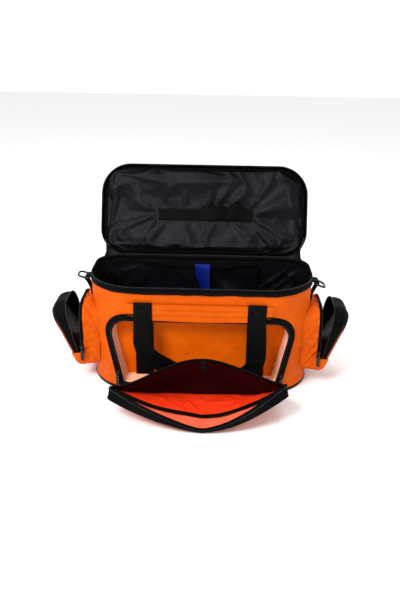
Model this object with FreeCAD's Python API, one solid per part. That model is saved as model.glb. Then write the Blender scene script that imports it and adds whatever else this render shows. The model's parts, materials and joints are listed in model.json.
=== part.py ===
"""Trauma bag: a soft holdall with a zipped lid, a gaping front pocket and two end pockets.

Every sewn panel, webbing, tape, ring and slider is its own solid.  The bag stands open: the lid
leans back, the front flap lies forward on the floor and the end flaps lean outwards.
Origin: centre of the base, on the floor.  +X is the bag's right, -Y its front, +Z up.
"""
import FreeCAD, Part
import math
import os

from FreeCAD import Vector

# ---- Driving dimensions (mm) ----
WEBBING = 38.0            # width of the handle webbing
WEBBING_T = 2.2           # thickness of the handle webbing
BODY_W = 470.0            # body, left to right
BODY_D = 206.0            # body, front to back
REAR_R = 56.0             # plan radius of the rear corners; the front ones are half of BODY_D
SHELL_TOP = 226.0         # top edge of the orange shell
RIM_TOP = 239.0           # top edge of the zip tape above it
SHELL_T = 2.5             # coated fabric with its foam
LINING_T = 1.2
GAP = 0.3                 # clearance between separate layers

STRAP_X = 116.0           # handle legs, from the middle of the bag
STRAP_TOP = 208.0
STRAP_FREE = 165.0        # below this height the handle loops hang free
HANDLE_DROP = 126.0       # how far a loop hangs below that

OPENING_BOTTOM = 10.0     # front pocket opening
OPENING_TOP = 175.0
OPENING_HALF_LOW = 168.0
OPENING_HALF_HIGH = 205.0
OPENING_R_LOW = 16.0
OPENING_R_HIGH = 45.0
RECESS_Y = -66.0          # face of the recessed front wall
RECESS_NARROWER = 14.0    # the recess tapers by this much on every side

LID_R = 66.0              # radius of the lid's front corners
LID_DEPTH = 18.0          # height of the lid's side strip
LID_HINGE_Y = BODY_D / 2
LID_HINGE_Z = RIM_TOP + 0.3
LID_OPEN = 113.0          # how far the lid stands open (degrees)

FLAP_HINGE_Y = -105.0     # front flap
FLAP_HINGE_Z = 2.5
FLAP_REACH = 146.0        # from the hinge to the middle of its far edge
FLAP_HALF_HINGE = 152.0
FLAP_HALF_FAR = 181.0
FLAP_SWEEP = 53.0         # the corners stand this much nearer to the bag
FLAP_LIFT = 60.0          # the corners stand this much above the floor
FLAP_T = 2.6
LIP_Y = -165.0            # top edge of the organiser panel behind the flap's mouth
LIP_END = 62.0
LIP_RISE = 52.0

POCKET_HALF = 60.0        # end pockets, front to back
POCKET_BOTTOM = 38.0
POCKET_TOP = 178.0
POCKET_X = 257.0          # plane of the end pockets' zips
POCKET_R_TOP = 38.0
POCKET_R_LOW = 14.0
POCKET_T = 1.8
END_FLAP_WEDGE = 12.0     # the end flaps are wedges: this angle between zip and outer face
END_FLAP_FOOT = 3.0       # depth of the wedge at its foot
END_FLAP_OPEN = {-1: 13.5, 1: 11.0}   # how far they stand open (degrees), left and right
END_HINGE_X = POCKET_X + 0.5
END_HINGE_Z = POCKET_BOTTOM - 0.5

RING_X = 241.5            # D-rings
RING_Z = 221.0
RING_WIRE = 2.2           # radius of the moulded ring
RING_HALF = 15.0
RING_DEPTH = 24.0
RING_TILT = {-1: 15.0, 1: -22.0}
TAB_HALF = 11.0

SLIDER_START = 27.0       # the lid's sliders park this far round the bag's ends (degrees)
FRONT_SLIDER_X = 169.5    # the front zip's sliders, near the foot of the opening
FRONT_SLIDER_Z = 40.0
FRONT_SLIDER_OUT = 2.5    # how far they stand off the shell
END_SLIDER_Z = 78.0

SIDES = (("left", -1), ("right", 1))
X_AXIS = Vector(1, 0, 0)
Y_AXIS = Vector(0, 1, 0)
Z_AXIS = Vector(0, 0, 1)


# ---- Helpers ----
def save(name, *solids):
    """Writes one node from one or more separate solids."""
    shape = solids[0] if len(solids) == 1 else Part.makeCompound(list(solids))
    assert shape.isValid() and shape.Volume > 0, name
    shape.exportStep("parts/" + name + ".step")


def box(x0, x1, y0, y1, z0, z1):
    return Part.makeBox(x1 - x0, y1 - y0, z1 - z0, Vector(x0, y0, z0))


def rounded_outline(corners, to_space):
    """Closed wire through corners (u, v, radius), each rounded by its radius."""
    edges = []
    ends = []
    count = len(corners)
    for i, (u, v, radius) in enumerate(corners):
        here = Vector(u, v, 0)
        before = Vector(*corners[i - 1][:2], 0) - here
        after = Vector(*corners[(i + 1) % count][:2], 0) - here
        half = before.getAngle(after) / 2
        before.normalize()
        after.normalize()
        run = radius / math.tan(half)
        middle = (before + after).normalize() * (radius / math.sin(half) - radius)
        ends.append((here + before * run, here + middle, here + after * run))
    for i, (start, middle, end) in enumerate(ends):
        last = ends[i - 1][2]
        if (last - start).Length > 1e-6:
            edges.append(Part.LineSegment(to_space(last), to_space(start)).toShape())
        edges.append(Part.Arc(to_space(start), to_space(middle), to_space(end)).toShape())
    return Part.Wire(edges)


def plan(inset, z, front_radius):
    """Outline seen from above at height z, drawn in by inset: round front and rear corners."""
    half_x = BODY_W / 2 - inset
    half_y = BODY_D / 2 - inset
    front = front_radius - inset
    rear = REAR_R - inset
    corners = [(-half_x, -half_y, front), (half_x, -half_y, front),
               (half_x, half_y, rear), (-half_x, half_y, rear)]
    return rounded_outline(corners, lambda p: Vector(p.x, p.y, z))


def body_plan(inset, z, height):
    """The body's plan, drawn in by inset, as a solid."""
    return Part.Face(plan(inset, z, BODY_D / 2)).extrude(Vector(0, 0, height))


def tube(inset, z, height, thickness):
    """A wall that follows the body's plan."""
    return body_plan(inset, z, height).cut(body_plan(inset + thickness, z - 1, height + 2))


def lid_plan(inset, z, height):
    return Part.Face(plan(inset, z, LID_R)).extrude(Vector(0, 0, height))


def pipe(path, radius, start, direction):
    profile = Part.Wire(Part.Circle(start, direction, radius).toShape())
    return path.makePipeShell([profile], True, False)


def opening(inset, y):
    """Outline of the front pocket's opening at depth y, drawn in by inset."""
    rise = OPENING_TOP - OPENING_BOTTOM
    slope = (OPENING_HALF_HIGH - OPENING_HALF_LOW) / rise
    low = OPENING_BOTTOM + inset
    high = OPENING_TOP - inset
    side = inset * math.hypot(1, slope)
    half_low = OPENING_HALF_LOW + slope * inset - side
    half_high = OPENING_HALF_HIGH - slope * inset - side
    r_low = max(OPENING_R_LOW - inset, 2.0)
    r_high = max(OPENING_R_HIGH - inset, 2.0)
    corners = [(-half_low, low, r_low), (half_low, low, r_low),
               (half_high, high, r_high), (-half_high, high, r_high)]
    return rounded_outline(corners, lambda p: Vector(p.x, y, p.y))


def opening_prism(inset, y0, y1):
    return Part.Face(opening(inset, y0)).extrude(Vector(0, y1 - y0, 0))


def opening_taper(offset):
    """Solid that narrows from the opening back to the recessed wall."""
    front = opening(offset, -BODY_D / 2)
    back = opening(offset + RECESS_NARROWER, RECESS_Y)
    return Part.makeLoft([front, back], True, True)


def sheet(point, u_range, v_range, thickness, steps=(13, 7)):
    """Curved sheet: a smooth surface through point(u, v), thickened upwards."""
    grid = [[point(u_range[0] + (u_range[1] - u_range[0]) * i / (steps[0] - 1),
                   v_range[0] + (v_range[1] - v_range[0]) * j / (steps[1] - 1))
             for j in range(steps[1])] for i in range(steps[0])]
    surface = Part.BSplineSurface()
    surface.interpolate(grid)
    return surface.toShape().extrude(Vector(0, 0, thickness))


# ---- Body ----
def body():
    save("base_panel", body_plan(1.0, 0, 2.8))
    save("base_stiffener", body_plan(8.0, 3.1, 2.6))
    ring = plan(0.6, 4.7, BODY_D / 2)
    save("base_piping", pipe(ring, 1.8, Vector(0, -BODY_D / 2 + 0.6, 4.7), X_AXIS))
    shell = tube(0, 6.8, SHELL_TOP - 6.8, SHELL_T)
    save("shell_outer", shell.cut(opening_prism(0, -BODY_D, 0)))
    save("rim_zip_tape", tube(0, SHELL_TOP + 0.1, RIM_TOP - SHELL_TOP - 0.1, SHELL_T))
    inside = SHELL_T + GAP
    tub = body_plan(inside, 6.8, RIM_TOP - 8.8).cut(opening_prism(-6, -BODY_D, RECESS_Y + 3.2))
    hollow = body_plan(inside + LINING_T, 8.2, RIM_TOP)
    hollow = hollow.cut(opening_prism(-6 - LINING_T, -BODY_D, RECESS_Y + 3.2 + LINING_T))
    save("compartment_lining", tub.cut(hollow))
    save("rear_wall_pocket", box(-118, 118, 92.0, 93.2, 9, 222))
    ends = tube(15, 9, 184, 1.2)
    for side, sign in SIDES:
        x0, x1 = sorted((sign * 150, sign * 240))
        save(side + "_end_pocket", ends.common(box(x0, x1, -48, 60, 0, 300)))
    strap = Part.Face(Part.makePolygon([Vector(x, 86, z) for x, z in (
        (-18, 220), (18, 220), (16, 120), (-4, 120), (-18, 220))]))
    save("blue_strap", strap.extrude(Vector(0, 1.6, 0)))


def front_pocket():
    """Recessed wall, tapering side strip, zip tape, storm flap and sewn webbing."""
    wall = opening_prism(RECESS_NARROWER - 4, RECESS_Y, RECESS_Y + 2.6)
    save("front_pocket_wall", wall)
    inner = body_plan(SHELL_T + 0.1, 0, 300)
    strip = opening_taper(-4).cut(opening_taper(-2.6))
    keep = box(-300, 300, -200, RECESS_Y - 0.1, 0, 300)
    save("front_pocket_gusset", strip.common(inner).common(keep))
    tape = opening_prism(0.2, -BODY_D, 0).cut(opening_prism(9.2, -BODY_D - 1, 1))
    save("front_zip_tape", tape.common(tube(0.2, 6, 200, SHELL_T - 0.4)))
    face = -BODY_D / 2
    save("storm_flap", box(-124, 124, face - 2.4, face - 0.2, 167, 204))
    half = WEBBING / 2
    front_webs = []
    for x in (-STRAP_X - 2, STRAP_X + 2):
        front_webs.append(box(x - half, x + half, RECESS_Y - 2.4, RECESS_Y - 0.2, 24, 155))
    save("front_load_webbing", *front_webs)
    rear_webs = []
    for x in (-STRAP_X, STRAP_X):
        rear_webs.append(box(x - half, x + half, -face + 0.2, -face + 2.2, 10, STRAP_TOP))
    save("rear_load_webbing", *rear_webs)


# ---- Handles ----
def loop_face(y, drop):
    """Flat webbing loop: two legs and a rounded bottom, in the plane at depth y."""
    half = WEBBING / 2
    bend = 46.0
    low = STRAP_FREE - drop
    top = STRAP_FREE - 0.6
    outer = [(-STRAP_X - half, top, 0.5), (-STRAP_X - half, low, bend + half),
             (STRAP_X + half, low, bend + half), (STRAP_X + half, top, 0.5)]
    inner = [(-STRAP_X + half, top + 5, 0.5), (-STRAP_X + half, low + WEBBING, bend - half),
             (STRAP_X - half, low + WEBBING, bend - half), (STRAP_X - half, top + 5, 0.5)]
    wires = [rounded_outline(c, lambda p: Vector(p.x, y, p.y)) for c in (outer, inner)]
    return Part.Face(wires[0]).cut(Part.Face(wires[1]))


def handles():
    half = WEBBING / 2
    for place, sign, sewn in (("front", -1, BODY_D / 2 + 2.7), ("rear", 1, BODY_D / 2 + 2.5)):
        pads = []
        for x in (-STRAP_X, STRAP_X):
            y0, y1 = sorted((sign * sewn, sign * (sewn + WEBBING_T)))
            pads.append(box(x - half, x + half, y0, y1, STRAP_FREE, STRAP_TOP))
        save(place + "_handle_anchor", *pads)
        y = sign * (sewn + WEBBING_T + 0.8)
        loop = loop_face(y, HANDLE_DROP).extrude(Vector(0, sign * WEBBING_T, 0))
        save(place + "_handle_loop", loop)


# ---- Lid ----
def lid():
    low = RIM_TOP + 0.6
    high = RIM_TOP + LID_DEPTH
    wall = lid_plan(0, low, high - low - 1.4).cut(lid_plan(2.0, low - 1, LID_DEPTH + 2))
    rear = box(-164, 164, BODY_D / 2 - 3, BODY_D / 2 + 1, low - 1, high)
    tape_top = low + 6
    below = box(-300, 300, -300, 300, low - 1, tape_top)
    pieces = {
        "lid_zip_tape": wall.common(below).cut(rear),
        "lid_gusset": wall.cut(below).cut(rear),
        "lid_hinge_strip": wall.common(rear.copy()),
        "lid_panel": lid_plan(2.2, high - 1.2, 2.4),
        "lid_piping": pipe(plan(0, high + 0.5, LID_R), 1.8,
                           Vector(0, -BODY_D / 2, high + 0.5), X_AXIS),
        "lid_lining": lid_plan(3.0, high - 2.6, 1.1),
        "lid_inner_band": box(-108, 112, 0, 27, high - 4.8, high - 2.8),
    }
    for name, shape in pieces.items():
        shape.rotate(Vector(0, LID_HINGE_Y, LID_HINGE_Z), X_AXIS, -LID_OPEN)
        save(name, shape)


# ---- Front flap: lies forward, cupped like a boat, its organiser gaping above it ----
def flap_point(u, v, above=0.6):
    """A point of the flap: u runs across (-1..1), v from the hinge (0) to the far edge (1)."""
    half = FLAP_HALF_HINGE + (FLAP_HALF_FAR - FLAP_HALF_HINGE) * v
    reach = (FLAP_REACH - FLAP_SWEEP * u * u) * v
    lift = FLAP_LIFT * v * (u * u) ** 0.65
    return Vector(half * u, FLAP_HINGE_Y - 1 - reach, above + lift)


def organiser_point(u, v):
    """The organiser: v runs from its seam on the flap (0) to its arched top edge (1)."""
    seam = flap_point(0.93 * u, 0.10 + 0.60 * u ** 4, FLAP_T + 4.0)
    arch = LIP_END + LIP_RISE * math.cos(math.pi * u / 2) ** 2
    top = Vector(172 * u, LIP_Y - 25 * u * u, arch)
    belly = Vector(0, 14 * math.sin(math.pi * v) * (1 - u * u), 0)
    return seam + (top - seam) * v + belly


def front_flap():
    save("front_flap_panel", sheet(flap_point, (-1, 1), (0, 1), FLAP_T))
    save("front_flap_lining", sheet(lambda u, v: flap_point(u, v, FLAP_T + 1.1),
                                    (-0.97, 0.97), (0.05, 0.97), 0.8))
    save("front_flap_inner_pocket",
         sheet(lambda u, v: flap_point(u, 0.14 + v * (0.51 + 0.30 * u * u), FLAP_T + 2.5),
               (-0.90, 0.90), (0, 1), 0.8))
    save("front_flap_organiser", sheet(organiser_point, (-0.98, 0.98), (0, 1), 1.6))
    rim = [flap_point(u, 1, 4.2) + Vector(0, -2.8, 0)
           for u in (-1, -0.75, -0.5, -0.25, 0, 0.25, 0.5, 0.75, 1)]
    curve = Part.BSplineCurve()
    curve.interpolate(rim)
    path = Part.Wire(curve.toShape())
    save("front_flap_binding", pipe(path, 2.4, rim[0], curve.tangent(0)[0]))
    save("front_flap_tab", box(5.5, 16.5, LIP_Y - 4.2, LIP_Y - 2.2, 84, 108))


# ---- End pockets ----
def pocket_prism(inset, x0, x1):
    """Prism of an end pocket's outline between two distances from the middle of the bag."""
    half = POCKET_HALF - inset
    low = POCKET_BOTTOM + inset
    high = POCKET_TOP - inset
    corners = [(-half, low, POCKET_R_LOW - inset), (half, low, POCKET_R_LOW - inset),
               (half, high, POCKET_R_TOP - inset), (-half, high, POCKET_R_TOP - inset)]
    wire = rounded_outline(corners, lambda p: Vector(x0, p.x, p.y))
    return Part.Face(wire).extrude(Vector(x1 - x0, 0, 0))


def leaning_slab(depth, thickness):
    """Tall slab that leans out by the wedge angle, its inner face depth outside the zip."""
    inner = POCKET_X + 1.1 + depth
    slab = box(inner, inner + thickness, -100, 100, -100, 400)
    slab.rotate(Vector(inner, 0, POCKET_BOTTOM), Y_AXIS, END_FLAP_WEDGE)
    return slab


def end_pocket(side, sign):
    """One end pocket, made on the right-hand end and mirrored for the left."""
    wrap = pocket_prism(0, 150, POCKET_X).cut(pocket_prism(POCKET_T, 149, POCKET_X + 1))
    tape = pocket_prism(-1.7, POCKET_X - 7, POCKET_X).cut(
        pocket_prism(-0.2, POCKET_X - 8, POCKET_X + 1))
    start = POCKET_X + 1.1
    outer = leaning_slab(END_FLAP_FOOT, 2.0)
    beyond = leaning_slab(END_FLAP_FOOT - 0.2, 200)
    edge = pocket_prism(0, start, 330).cut(pocket_prism(1.6, start - 1, 331)).cut(beyond)
    flap = {
        side + "_flap_panel": outer.common(pocket_prism(0, start, 330)),
        side + "_flap_gusset": edge,
        side + "_flap_lining": leaning_slab(END_FLAP_FOOT - 1.4, 1.0).common(
            pocket_prism(2.2, start, 330)),
    }
    for shape in flap.values():
        shape.rotate(Vector(END_HINGE_X, 0, END_HINGE_Z), Y_AXIS, END_FLAP_OPEN[sign])
    fixed = {
        side + "_pocket_gusset": wrap.cut(body_plan(-0.2, 0, 300)),
        side + "_pocket_zip_tape": tape,
    }
    for name, shape in {**flap, **fixed}.items():
        save(name, shape if sign > 0 else shape.mirror(Vector(0, 0, 0), X_AXIS))


# ---- D-rings ----
def ring(side, sign):
    """Webbing tab sewn to the shell, with a loop round the ring's bar, and the ring."""
    leg = box(BODY_W / 2 + 0.2, BODY_W / 2 + 2.4, -TAB_HALF, TAB_HALF, POCKET_TOP + 3, RING_Z - 3)
    eye = Part.makeCylinder(5.2, 2 * TAB_HALF, Vector(RING_X, -TAB_HALF, RING_Z), Y_AXIS)
    bore = Part.makeCylinder(RING_WIRE + 0.8, 60, Vector(RING_X, -30, RING_Z), Y_AXIS)
    tab = leg.fuse(eye).cut(bore).cut(box(0, BODY_W / 2 + 0.2, -50, 50, 0, 300))
    corner = 9.0
    bend = RING_HALF - corner * (1 - math.sqrt(0.5))
    deep = RING_DEPTH - corner * (1 - math.sqrt(0.5))
    at = lambda u, y: Vector(RING_X + u, y, RING_Z)
    edges = [Part.LineSegment(at(0, 0), at(0, RING_HALF - 2)).toShape(),
             Part.Arc(at(0, RING_HALF - 2), at(0.6, RING_HALF - 0.6), at(2, RING_HALF)).toShape(),
             Part.LineSegment(at(2, RING_HALF), at(RING_DEPTH - corner, RING_HALF)).toShape(),
             Part.Arc(at(RING_DEPTH - corner, RING_HALF), at(deep, bend),
                      at(RING_DEPTH, RING_HALF - corner)).toShape(),
             Part.LineSegment(at(RING_DEPTH, RING_HALF - corner), at(RING_DEPTH, 0)).toShape()]
    half_ring = pipe(Part.Wire(edges), RING_WIRE, at(0, 0), Y_AXIS)
    whole = half_ring.fuse(half_ring.mirror(Vector(0, 0, 0), Y_AXIS)).removeSplitter()
    whole.rotate(Vector(RING_X, 0, RING_Z), Y_AXIS, -RING_TILT[sign])
    for name, shape in ((side + "_dring_tab", tab), (side + "_dring", whole)):
        save(name, shape if sign > 0 else shape.mirror(Vector(0, 0, 0), X_AXIS))


# ---- Zip sliders and their pulls ----
def slider_shapes():
    """A slider and its pull, built at the origin: +X points away from the tape, +Z is up."""
    low = box(0.4, 2.2, -4, 4, -5.5, 5.5)
    bridge = box(2.2, 5.2, -1.2, 1.2, -3.6, 3.6).cut(box(2.3, 4.0, -2, 2, -2.4, 2.4))
    pull = box(5.6, 7.4, -3.5, 3.5, -27, -2)
    pull = pull.makeFillet(1.4, [e for e in pull.Edges if abs(e.tangentAt(0).x) > 0.9])
    return low.fuse(bridge), pull


def turned(shape, position, turn):
    shape = shape.copy()
    shape.rotate(Vector(0, 0, 0), Z_AXIS, turn)
    shape.translate(position)
    return shape


def on_end(angle, out, z):
    """Point on the right-hand end, angle counted from +X towards +Y (degrees)."""
    turn = math.radians(angle)
    bend = REAR_R if angle > 0 else BODY_D / 2
    side = 1 if angle > 0 else -1
    middle = Vector(BODY_W / 2 - bend, side * (BODY_D / 2 - bend), z)
    return middle + Vector(math.cos(turn), math.sin(turn), 0) * (bend + out)


def sliders():
    slider, pull = slider_shapes()
    radius = BODY_D / 2
    lid_angle = 90 - SLIDER_START
    reach = FRONT_SLIDER_X - (BODY_W / 2 - radius)
    front_angle = -math.degrees(math.acos(reach / radius))
    spots = {
        "lid": (on_end(lid_angle, 0, RIM_TOP - 5), lid_angle),
        "front": (on_end(front_angle, FRONT_SLIDER_OUT, FRONT_SLIDER_Z), front_angle),
        "end": (Vector(POCKET_X - 3.5, -POCKET_HALF - 1.9, END_SLIDER_Z), -90),
    }
    for zone, (position, turn) in spots.items():
        for side, sign in SIDES:
            for part, shape in (("slider", slider), ("pull", pull)):
                solid = turned(shape, position, turn)
                if sign < 0:
                    solid = solid.mirror(Vector(0, 0, 0), X_AXIS)
                save("_".join((side, zone, "zip", part)), solid)


def main():
    os.makedirs("parts", exist_ok=True)
    body()
    front_pocket()
    handles()
    lid()
    front_flap()
    for side, sign in SIDES:
        end_pocket(side, sign)
        ring(side, sign)
    sliders()


main()
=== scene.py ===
"""Looks of the open trauma bag: sewn cloth, webbing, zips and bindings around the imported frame.

All lengths are metres in the frame's own axes: +X the bag's right, -Y its front, +Z up.
"""
import json
import math

import bpy
import numpy as np
from mathutils import Matrix, Vector


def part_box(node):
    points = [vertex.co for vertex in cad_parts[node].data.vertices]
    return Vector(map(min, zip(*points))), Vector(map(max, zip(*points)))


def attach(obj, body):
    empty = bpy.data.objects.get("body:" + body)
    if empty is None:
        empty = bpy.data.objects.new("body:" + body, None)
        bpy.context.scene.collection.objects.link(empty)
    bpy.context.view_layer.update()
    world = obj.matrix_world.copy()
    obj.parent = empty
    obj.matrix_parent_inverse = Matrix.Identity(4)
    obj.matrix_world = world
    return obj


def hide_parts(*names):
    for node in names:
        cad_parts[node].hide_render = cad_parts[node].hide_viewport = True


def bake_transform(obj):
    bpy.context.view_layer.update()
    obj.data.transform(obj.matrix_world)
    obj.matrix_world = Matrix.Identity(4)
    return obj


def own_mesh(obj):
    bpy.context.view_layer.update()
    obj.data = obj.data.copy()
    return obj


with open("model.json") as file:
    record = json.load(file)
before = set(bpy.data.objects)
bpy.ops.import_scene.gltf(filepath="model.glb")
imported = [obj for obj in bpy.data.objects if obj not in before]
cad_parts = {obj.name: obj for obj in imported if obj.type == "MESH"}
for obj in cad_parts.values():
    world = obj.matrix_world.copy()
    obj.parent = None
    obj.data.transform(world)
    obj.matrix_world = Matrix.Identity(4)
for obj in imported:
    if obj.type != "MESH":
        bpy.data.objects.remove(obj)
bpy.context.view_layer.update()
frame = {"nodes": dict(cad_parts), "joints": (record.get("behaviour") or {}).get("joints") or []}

MM = 0.001
SIGN = {"left": -1, "right": 1}

# ---- Sizes read from the frame ----
JOINTS = {j["name"]: j for j in frame["joints"]}


def hinge(name):
    """Where a hinge is and the upper end of its range."""
    return Vector(JOINTS[name]["pos_m"]), math.radians(JOINTS[name]["range_deg"][1])


HALF_W, HALF_D, SHELL_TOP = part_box("shell_outer")[1]
SHELL_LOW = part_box("shell_outer")[0].z
RIM_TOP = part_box("rim_zip_tape")[1].z
RECESS_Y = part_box("front_pocket_wall")[0].y
STRAIGHT = HALF_W - HALF_D            # half of the straight stretch of the body's plan
REAR_R = 56 * MM
LID_R = 66 * MM
LID_HIGH = RIM_TOP + 18 * MM
LID_HINGE, LID_OPEN = hinge("lid_hinge")
WEBBING = 38 * MM
STRAP_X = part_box("rear_handle_anchor")[1].x - WEBBING / 2
STRAP_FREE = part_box("front_handle_anchor")[0].z
STRAP_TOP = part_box("front_handle_anchor")[1].z
FLAP_HINGE = hinge("front_flap_hinge")[0]
FLAP_REACH = FLAP_HINGE.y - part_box("front_flap_panel")[0].y - 1 * MM
FLAP_HALF_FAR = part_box("front_flap_panel")[1].x
FLAP_HALF_HINGE = FLAP_HALF_FAR - 29 * MM
FLAP_SWEEP = 53 * MM                  # how far the far edge sweeps back at its ends
FLAP_LIFT = 60 * MM                   # how far its ends curl up
POCKET_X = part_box("right_pocket_zip_tape")[1].x
_, POCKET_HALF, POCKET_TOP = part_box("right_pocket_gusset")[1]
POCKET_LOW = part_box("right_pocket_gusset")[0].z
POCKET_MID = (POCKET_LOW + POCKET_TOP) / 2
POCKET_R_LOW, POCKET_R_TOP = 14 * MM, 38 * MM
END_HINGE = hinge("right_flap_hinge")[0]
END_OPEN = {side: hinge(side + "_flap_hinge")[1] for side in SIGN}
END_X = POCKET_X + 1.1 * MM           # where the end flap starts
END_FOOT = 3 * MM                     # depth of the end flap at its hinge
WEDGE = math.radians(12)              # how fast it deepens upward
OPENING = {"low": 10 * MM, "high": 175 * MM, "half_low": 168 * MM, "half_high": 205 * MM,
           "r_low": 16 * MM, "r_high": 45 * MM}
OPENING_SLOPE = (OPENING["half_high"] - OPENING["half_low"]) / (OPENING["high"] - OPENING["low"])
STORM_MID, STORM_TOP = 186 * MM, 204 * MM
STORM_HALF = 152 * MM
STORM_ROWS = (177.5 * MM, 188.5 * MM, 200.5 * MM)   # heights of its rows of stitches
BAND_X, BAND_Y = 2 * MM, 10 * MM      # middle of the band across the lid's lining
BAND_HALF = 108 * MM
PLAN_STEP = 0.5 * MM
OUTLINE_STEP = 2.5 * MM
FINE_STEP = 1.5 * MM


# ---- Number helpers ----
def noise(x, y, seed=0):
    """Smooth noise, about -1 to 1, the same on every run."""
    xi, yi = np.floor(x).astype(np.int64), np.floor(y).astype(np.int64)

    def corner(ix, iy):
        mix = (ix * 374761393 + iy * 668265263 + seed * 144665) & 0x7FFFFFFF
        mix = ((mix ^ (mix >> 13)) * 1274126177) & 0x7FFFFFFF
        turn = (mix % 3600) * (2 * math.pi / 3600)
        return np.cos(turn) * (x - ix) + np.sin(turn) * (y - iy)

    sx, sy = smooth(0, 1, x - xi), smooth(0, 1, y - yi)
    low = corner(xi, yi) * (1 - sx) + corner(xi + 1, yi) * sx
    high = corner(xi, yi + 1) * (1 - sx) + corner(xi + 1, yi + 1) * sx
    return 1.6 * (low * (1 - sy) + high * sy)


def creases(x, y, seed=0):
    """Cloth-like ridges, 0 to 1, sharp along their tops."""
    bent = x + 0.6 * noise(x * 0.7, y * 0.7, seed + 5)
    return (1 - np.abs(noise(bent, y, seed))) ** 3


def smooth(low, high, value):
    t = np.clip((value - low) / (high - low), 0, 1)
    return t * t * (3 - 2 * t)


def folds(x, y, lines):
    """Height of soft ridges along straight lines (x0, y0, x1, y1, width, height)."""
    total = np.zeros_like(x)
    for x0, y0, x1, y1, width, height in lines:
        dx, dy = x1 - x0, y1 - y0
        long = math.hypot(dx, dy)
        along = ((x - x0) * dx + (y - y0) * dy) / long ** 2
        off = ((x - x0) * dy - (y - y0) * dx) / long
        spread = width * (0.35 + np.clip(along, 0, 1))
        ends = smooth(-0.12, 0.1, along) * (1 - smooth(0.75, 1.1, along))
        total = total + height * ends * np.exp(-(off / spread) ** 2)
    return total


def spread(u0, u1, v0, v1, nu, nv):
    """Grids of two even ranges."""
    return np.meshgrid(np.linspace(u0, u1, nu), np.linspace(v0, v1, nv), indexing="ij")


def around_spread(count, low, high, nv):
    """Grids of one full turn, 0 to 1, and an even range."""
    return np.meshgrid(np.arange(count) / count, np.linspace(low, high, nv), indexing="ij")


def xyz(x, y, z):
    """Points from their coordinates."""
    return np.stack(np.broadcast_arrays(x, y, z), -1)


def arch(k):
    """0 at both ends of 0 to 1, and 1 in the middle."""
    return np.sin(k * math.pi)


def looped(line):
    """The line with its first point repeated at its end."""
    return np.vstack([line, line[:1]])


def lengths(points):
    """Distance gone along a line at each of its points."""
    return np.r_[0, np.cumsum(np.linalg.norm(np.diff(points, axis=0), axis=1))]


def columns_at(at, gone, table):
    """Table's columns read at other places along it."""
    return np.stack([np.interp(at, gone, column) for column in table.T], -1)


def resample(points, step, closed=False):
    """The same line with evenly spaced points."""
    points = looped(np.asarray(points, float)) if closed else np.asarray(points, float)
    gone = lengths(points)
    count = max(int(round(gone[-1] / step)), 2)
    out = columns_at(np.linspace(0, gone[-1], count + 1), gone, points)
    return out[:-1] if closed else out


def recount(ring, count):
    """The same closed line with another number of points."""
    at = np.linspace(0, len(ring), count, endpoint=False)
    return columns_at(at, np.arange(len(ring) + 1), looped(ring))


def spline(control, count=12):
    """Smooth line through the control points."""
    c = np.asarray(control, float)
    c = np.vstack([2 * c[0] - c[1], c, 2 * c[-1] - c[-2]])
    t = np.linspace(0, 1, count, endpoint=False)[:, None]
    out = []
    for a, b, d, e in zip(c[:-3], c[1:-2], c[2:-1], c[3:]):
        out.append(0.5 * (2 * b + (d - a) * t + (2 * a - 5 * b + 4 * d - e) * t ** 2
                          + (3 * b - a - 3 * d + e) * t ** 3))
    return np.vstack(out + [c[-2:-1]])


def unit(vectors):
    return vectors / np.maximum(np.linalg.norm(vectors, axis=-1, keepdims=True), 1e-12)


def tangents(points, closed=False):
    if closed:
        return unit(np.roll(points, -1, 0) - np.roll(points, 1, 0))
    return unit(np.gradient(points, axis=0))


def open_part(path, keep):
    """The kept stretch of a closed line, in order from one end of it."""
    path = path[keep]
    first = int(np.argmax(np.linalg.norm(np.diff(path, axis=0), axis=1))) + 1
    return np.roll(path, -first, 0)


# ---- Plans and outlines ----
def half_width(v, half_u, half_v, radius):
    """Half width of a rounded rectangle at height v."""
    over = np.clip(np.abs(v) - (half_v - radius), 0, radius)
    return half_u - radius + np.sqrt(np.maximum(radius ** 2 - over ** 2, 0))


def plan_table():
    """Points and outward normals of the body's plan, from the front middle round by +X."""
    rear_x, rear_y = HALF_W - REAR_R, HALF_D - REAR_R

    def straight(x, y, nx, ny):
        return np.column_stack(np.broadcast_arrays(x, y, nx, ny))

    def arc(x, y, radius, start, end):
        turn = np.arange(start, end, PLAN_STEP / radius)
        c, s = np.cos(turn), np.sin(turn)
        return np.column_stack([x + radius * c, y + radius * s, c, s])

    right = np.vstack([straight(np.arange(0, STRAIGHT, PLAN_STEP), -HALF_D, 0, -1),
                       arc(STRAIGHT, 0, HALF_D, -math.pi / 2, 0),
                       straight(HALF_W, np.arange(0, rear_y, PLAN_STEP), 1, 0),
                       arc(rear_x, rear_y, REAR_R, 0, math.pi / 2),
                       straight(np.arange(rear_x, 0, -PLAN_STEP), HALF_D, 0, 1)])
    return np.vstack([right, right[::-1] * [-1, 1, -1, 1], right[:1]])


PLAN = plan_table()
PLAN_GONE = lengths(PLAN[:, :2])
GIRTH = PLAN_GONE[-1]


def around(t):
    """Body's plan: t runs 0 to 1 from the front middle by +X.  Gives x, y, nx, ny."""
    return [np.interp(np.mod(t, 1) * GIRTH, PLAN_GONE, column) for column in PLAN.T]


def plan_grid(inset, nu, nv, front_r):
    """Points that fill a plan drawn in by inset: x, y."""
    half_y = HALF_D - inset
    u, v = spread(-1, 1, -0.5, 0.5, nu, nv)
    y = np.sin(v * math.pi) * half_y * 0.9995
    radius = np.where(y < 0, front_r, REAR_R) - inset
    return u * half_width(y, HALF_W - inset, half_y, radius), y


def front_at(x, out=0.0):
    """Front surface of the body at x, out metres proud of it: x, y."""
    side = np.clip(np.abs(x) - STRAIGHT, 0, HALF_D * 0.999)
    turn = np.arcsin(side / HALF_D)
    x_out = x + np.sign(x) * np.sin(turn) * out
    return x_out, -(HALF_D + out) * np.cos(turn)


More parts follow.
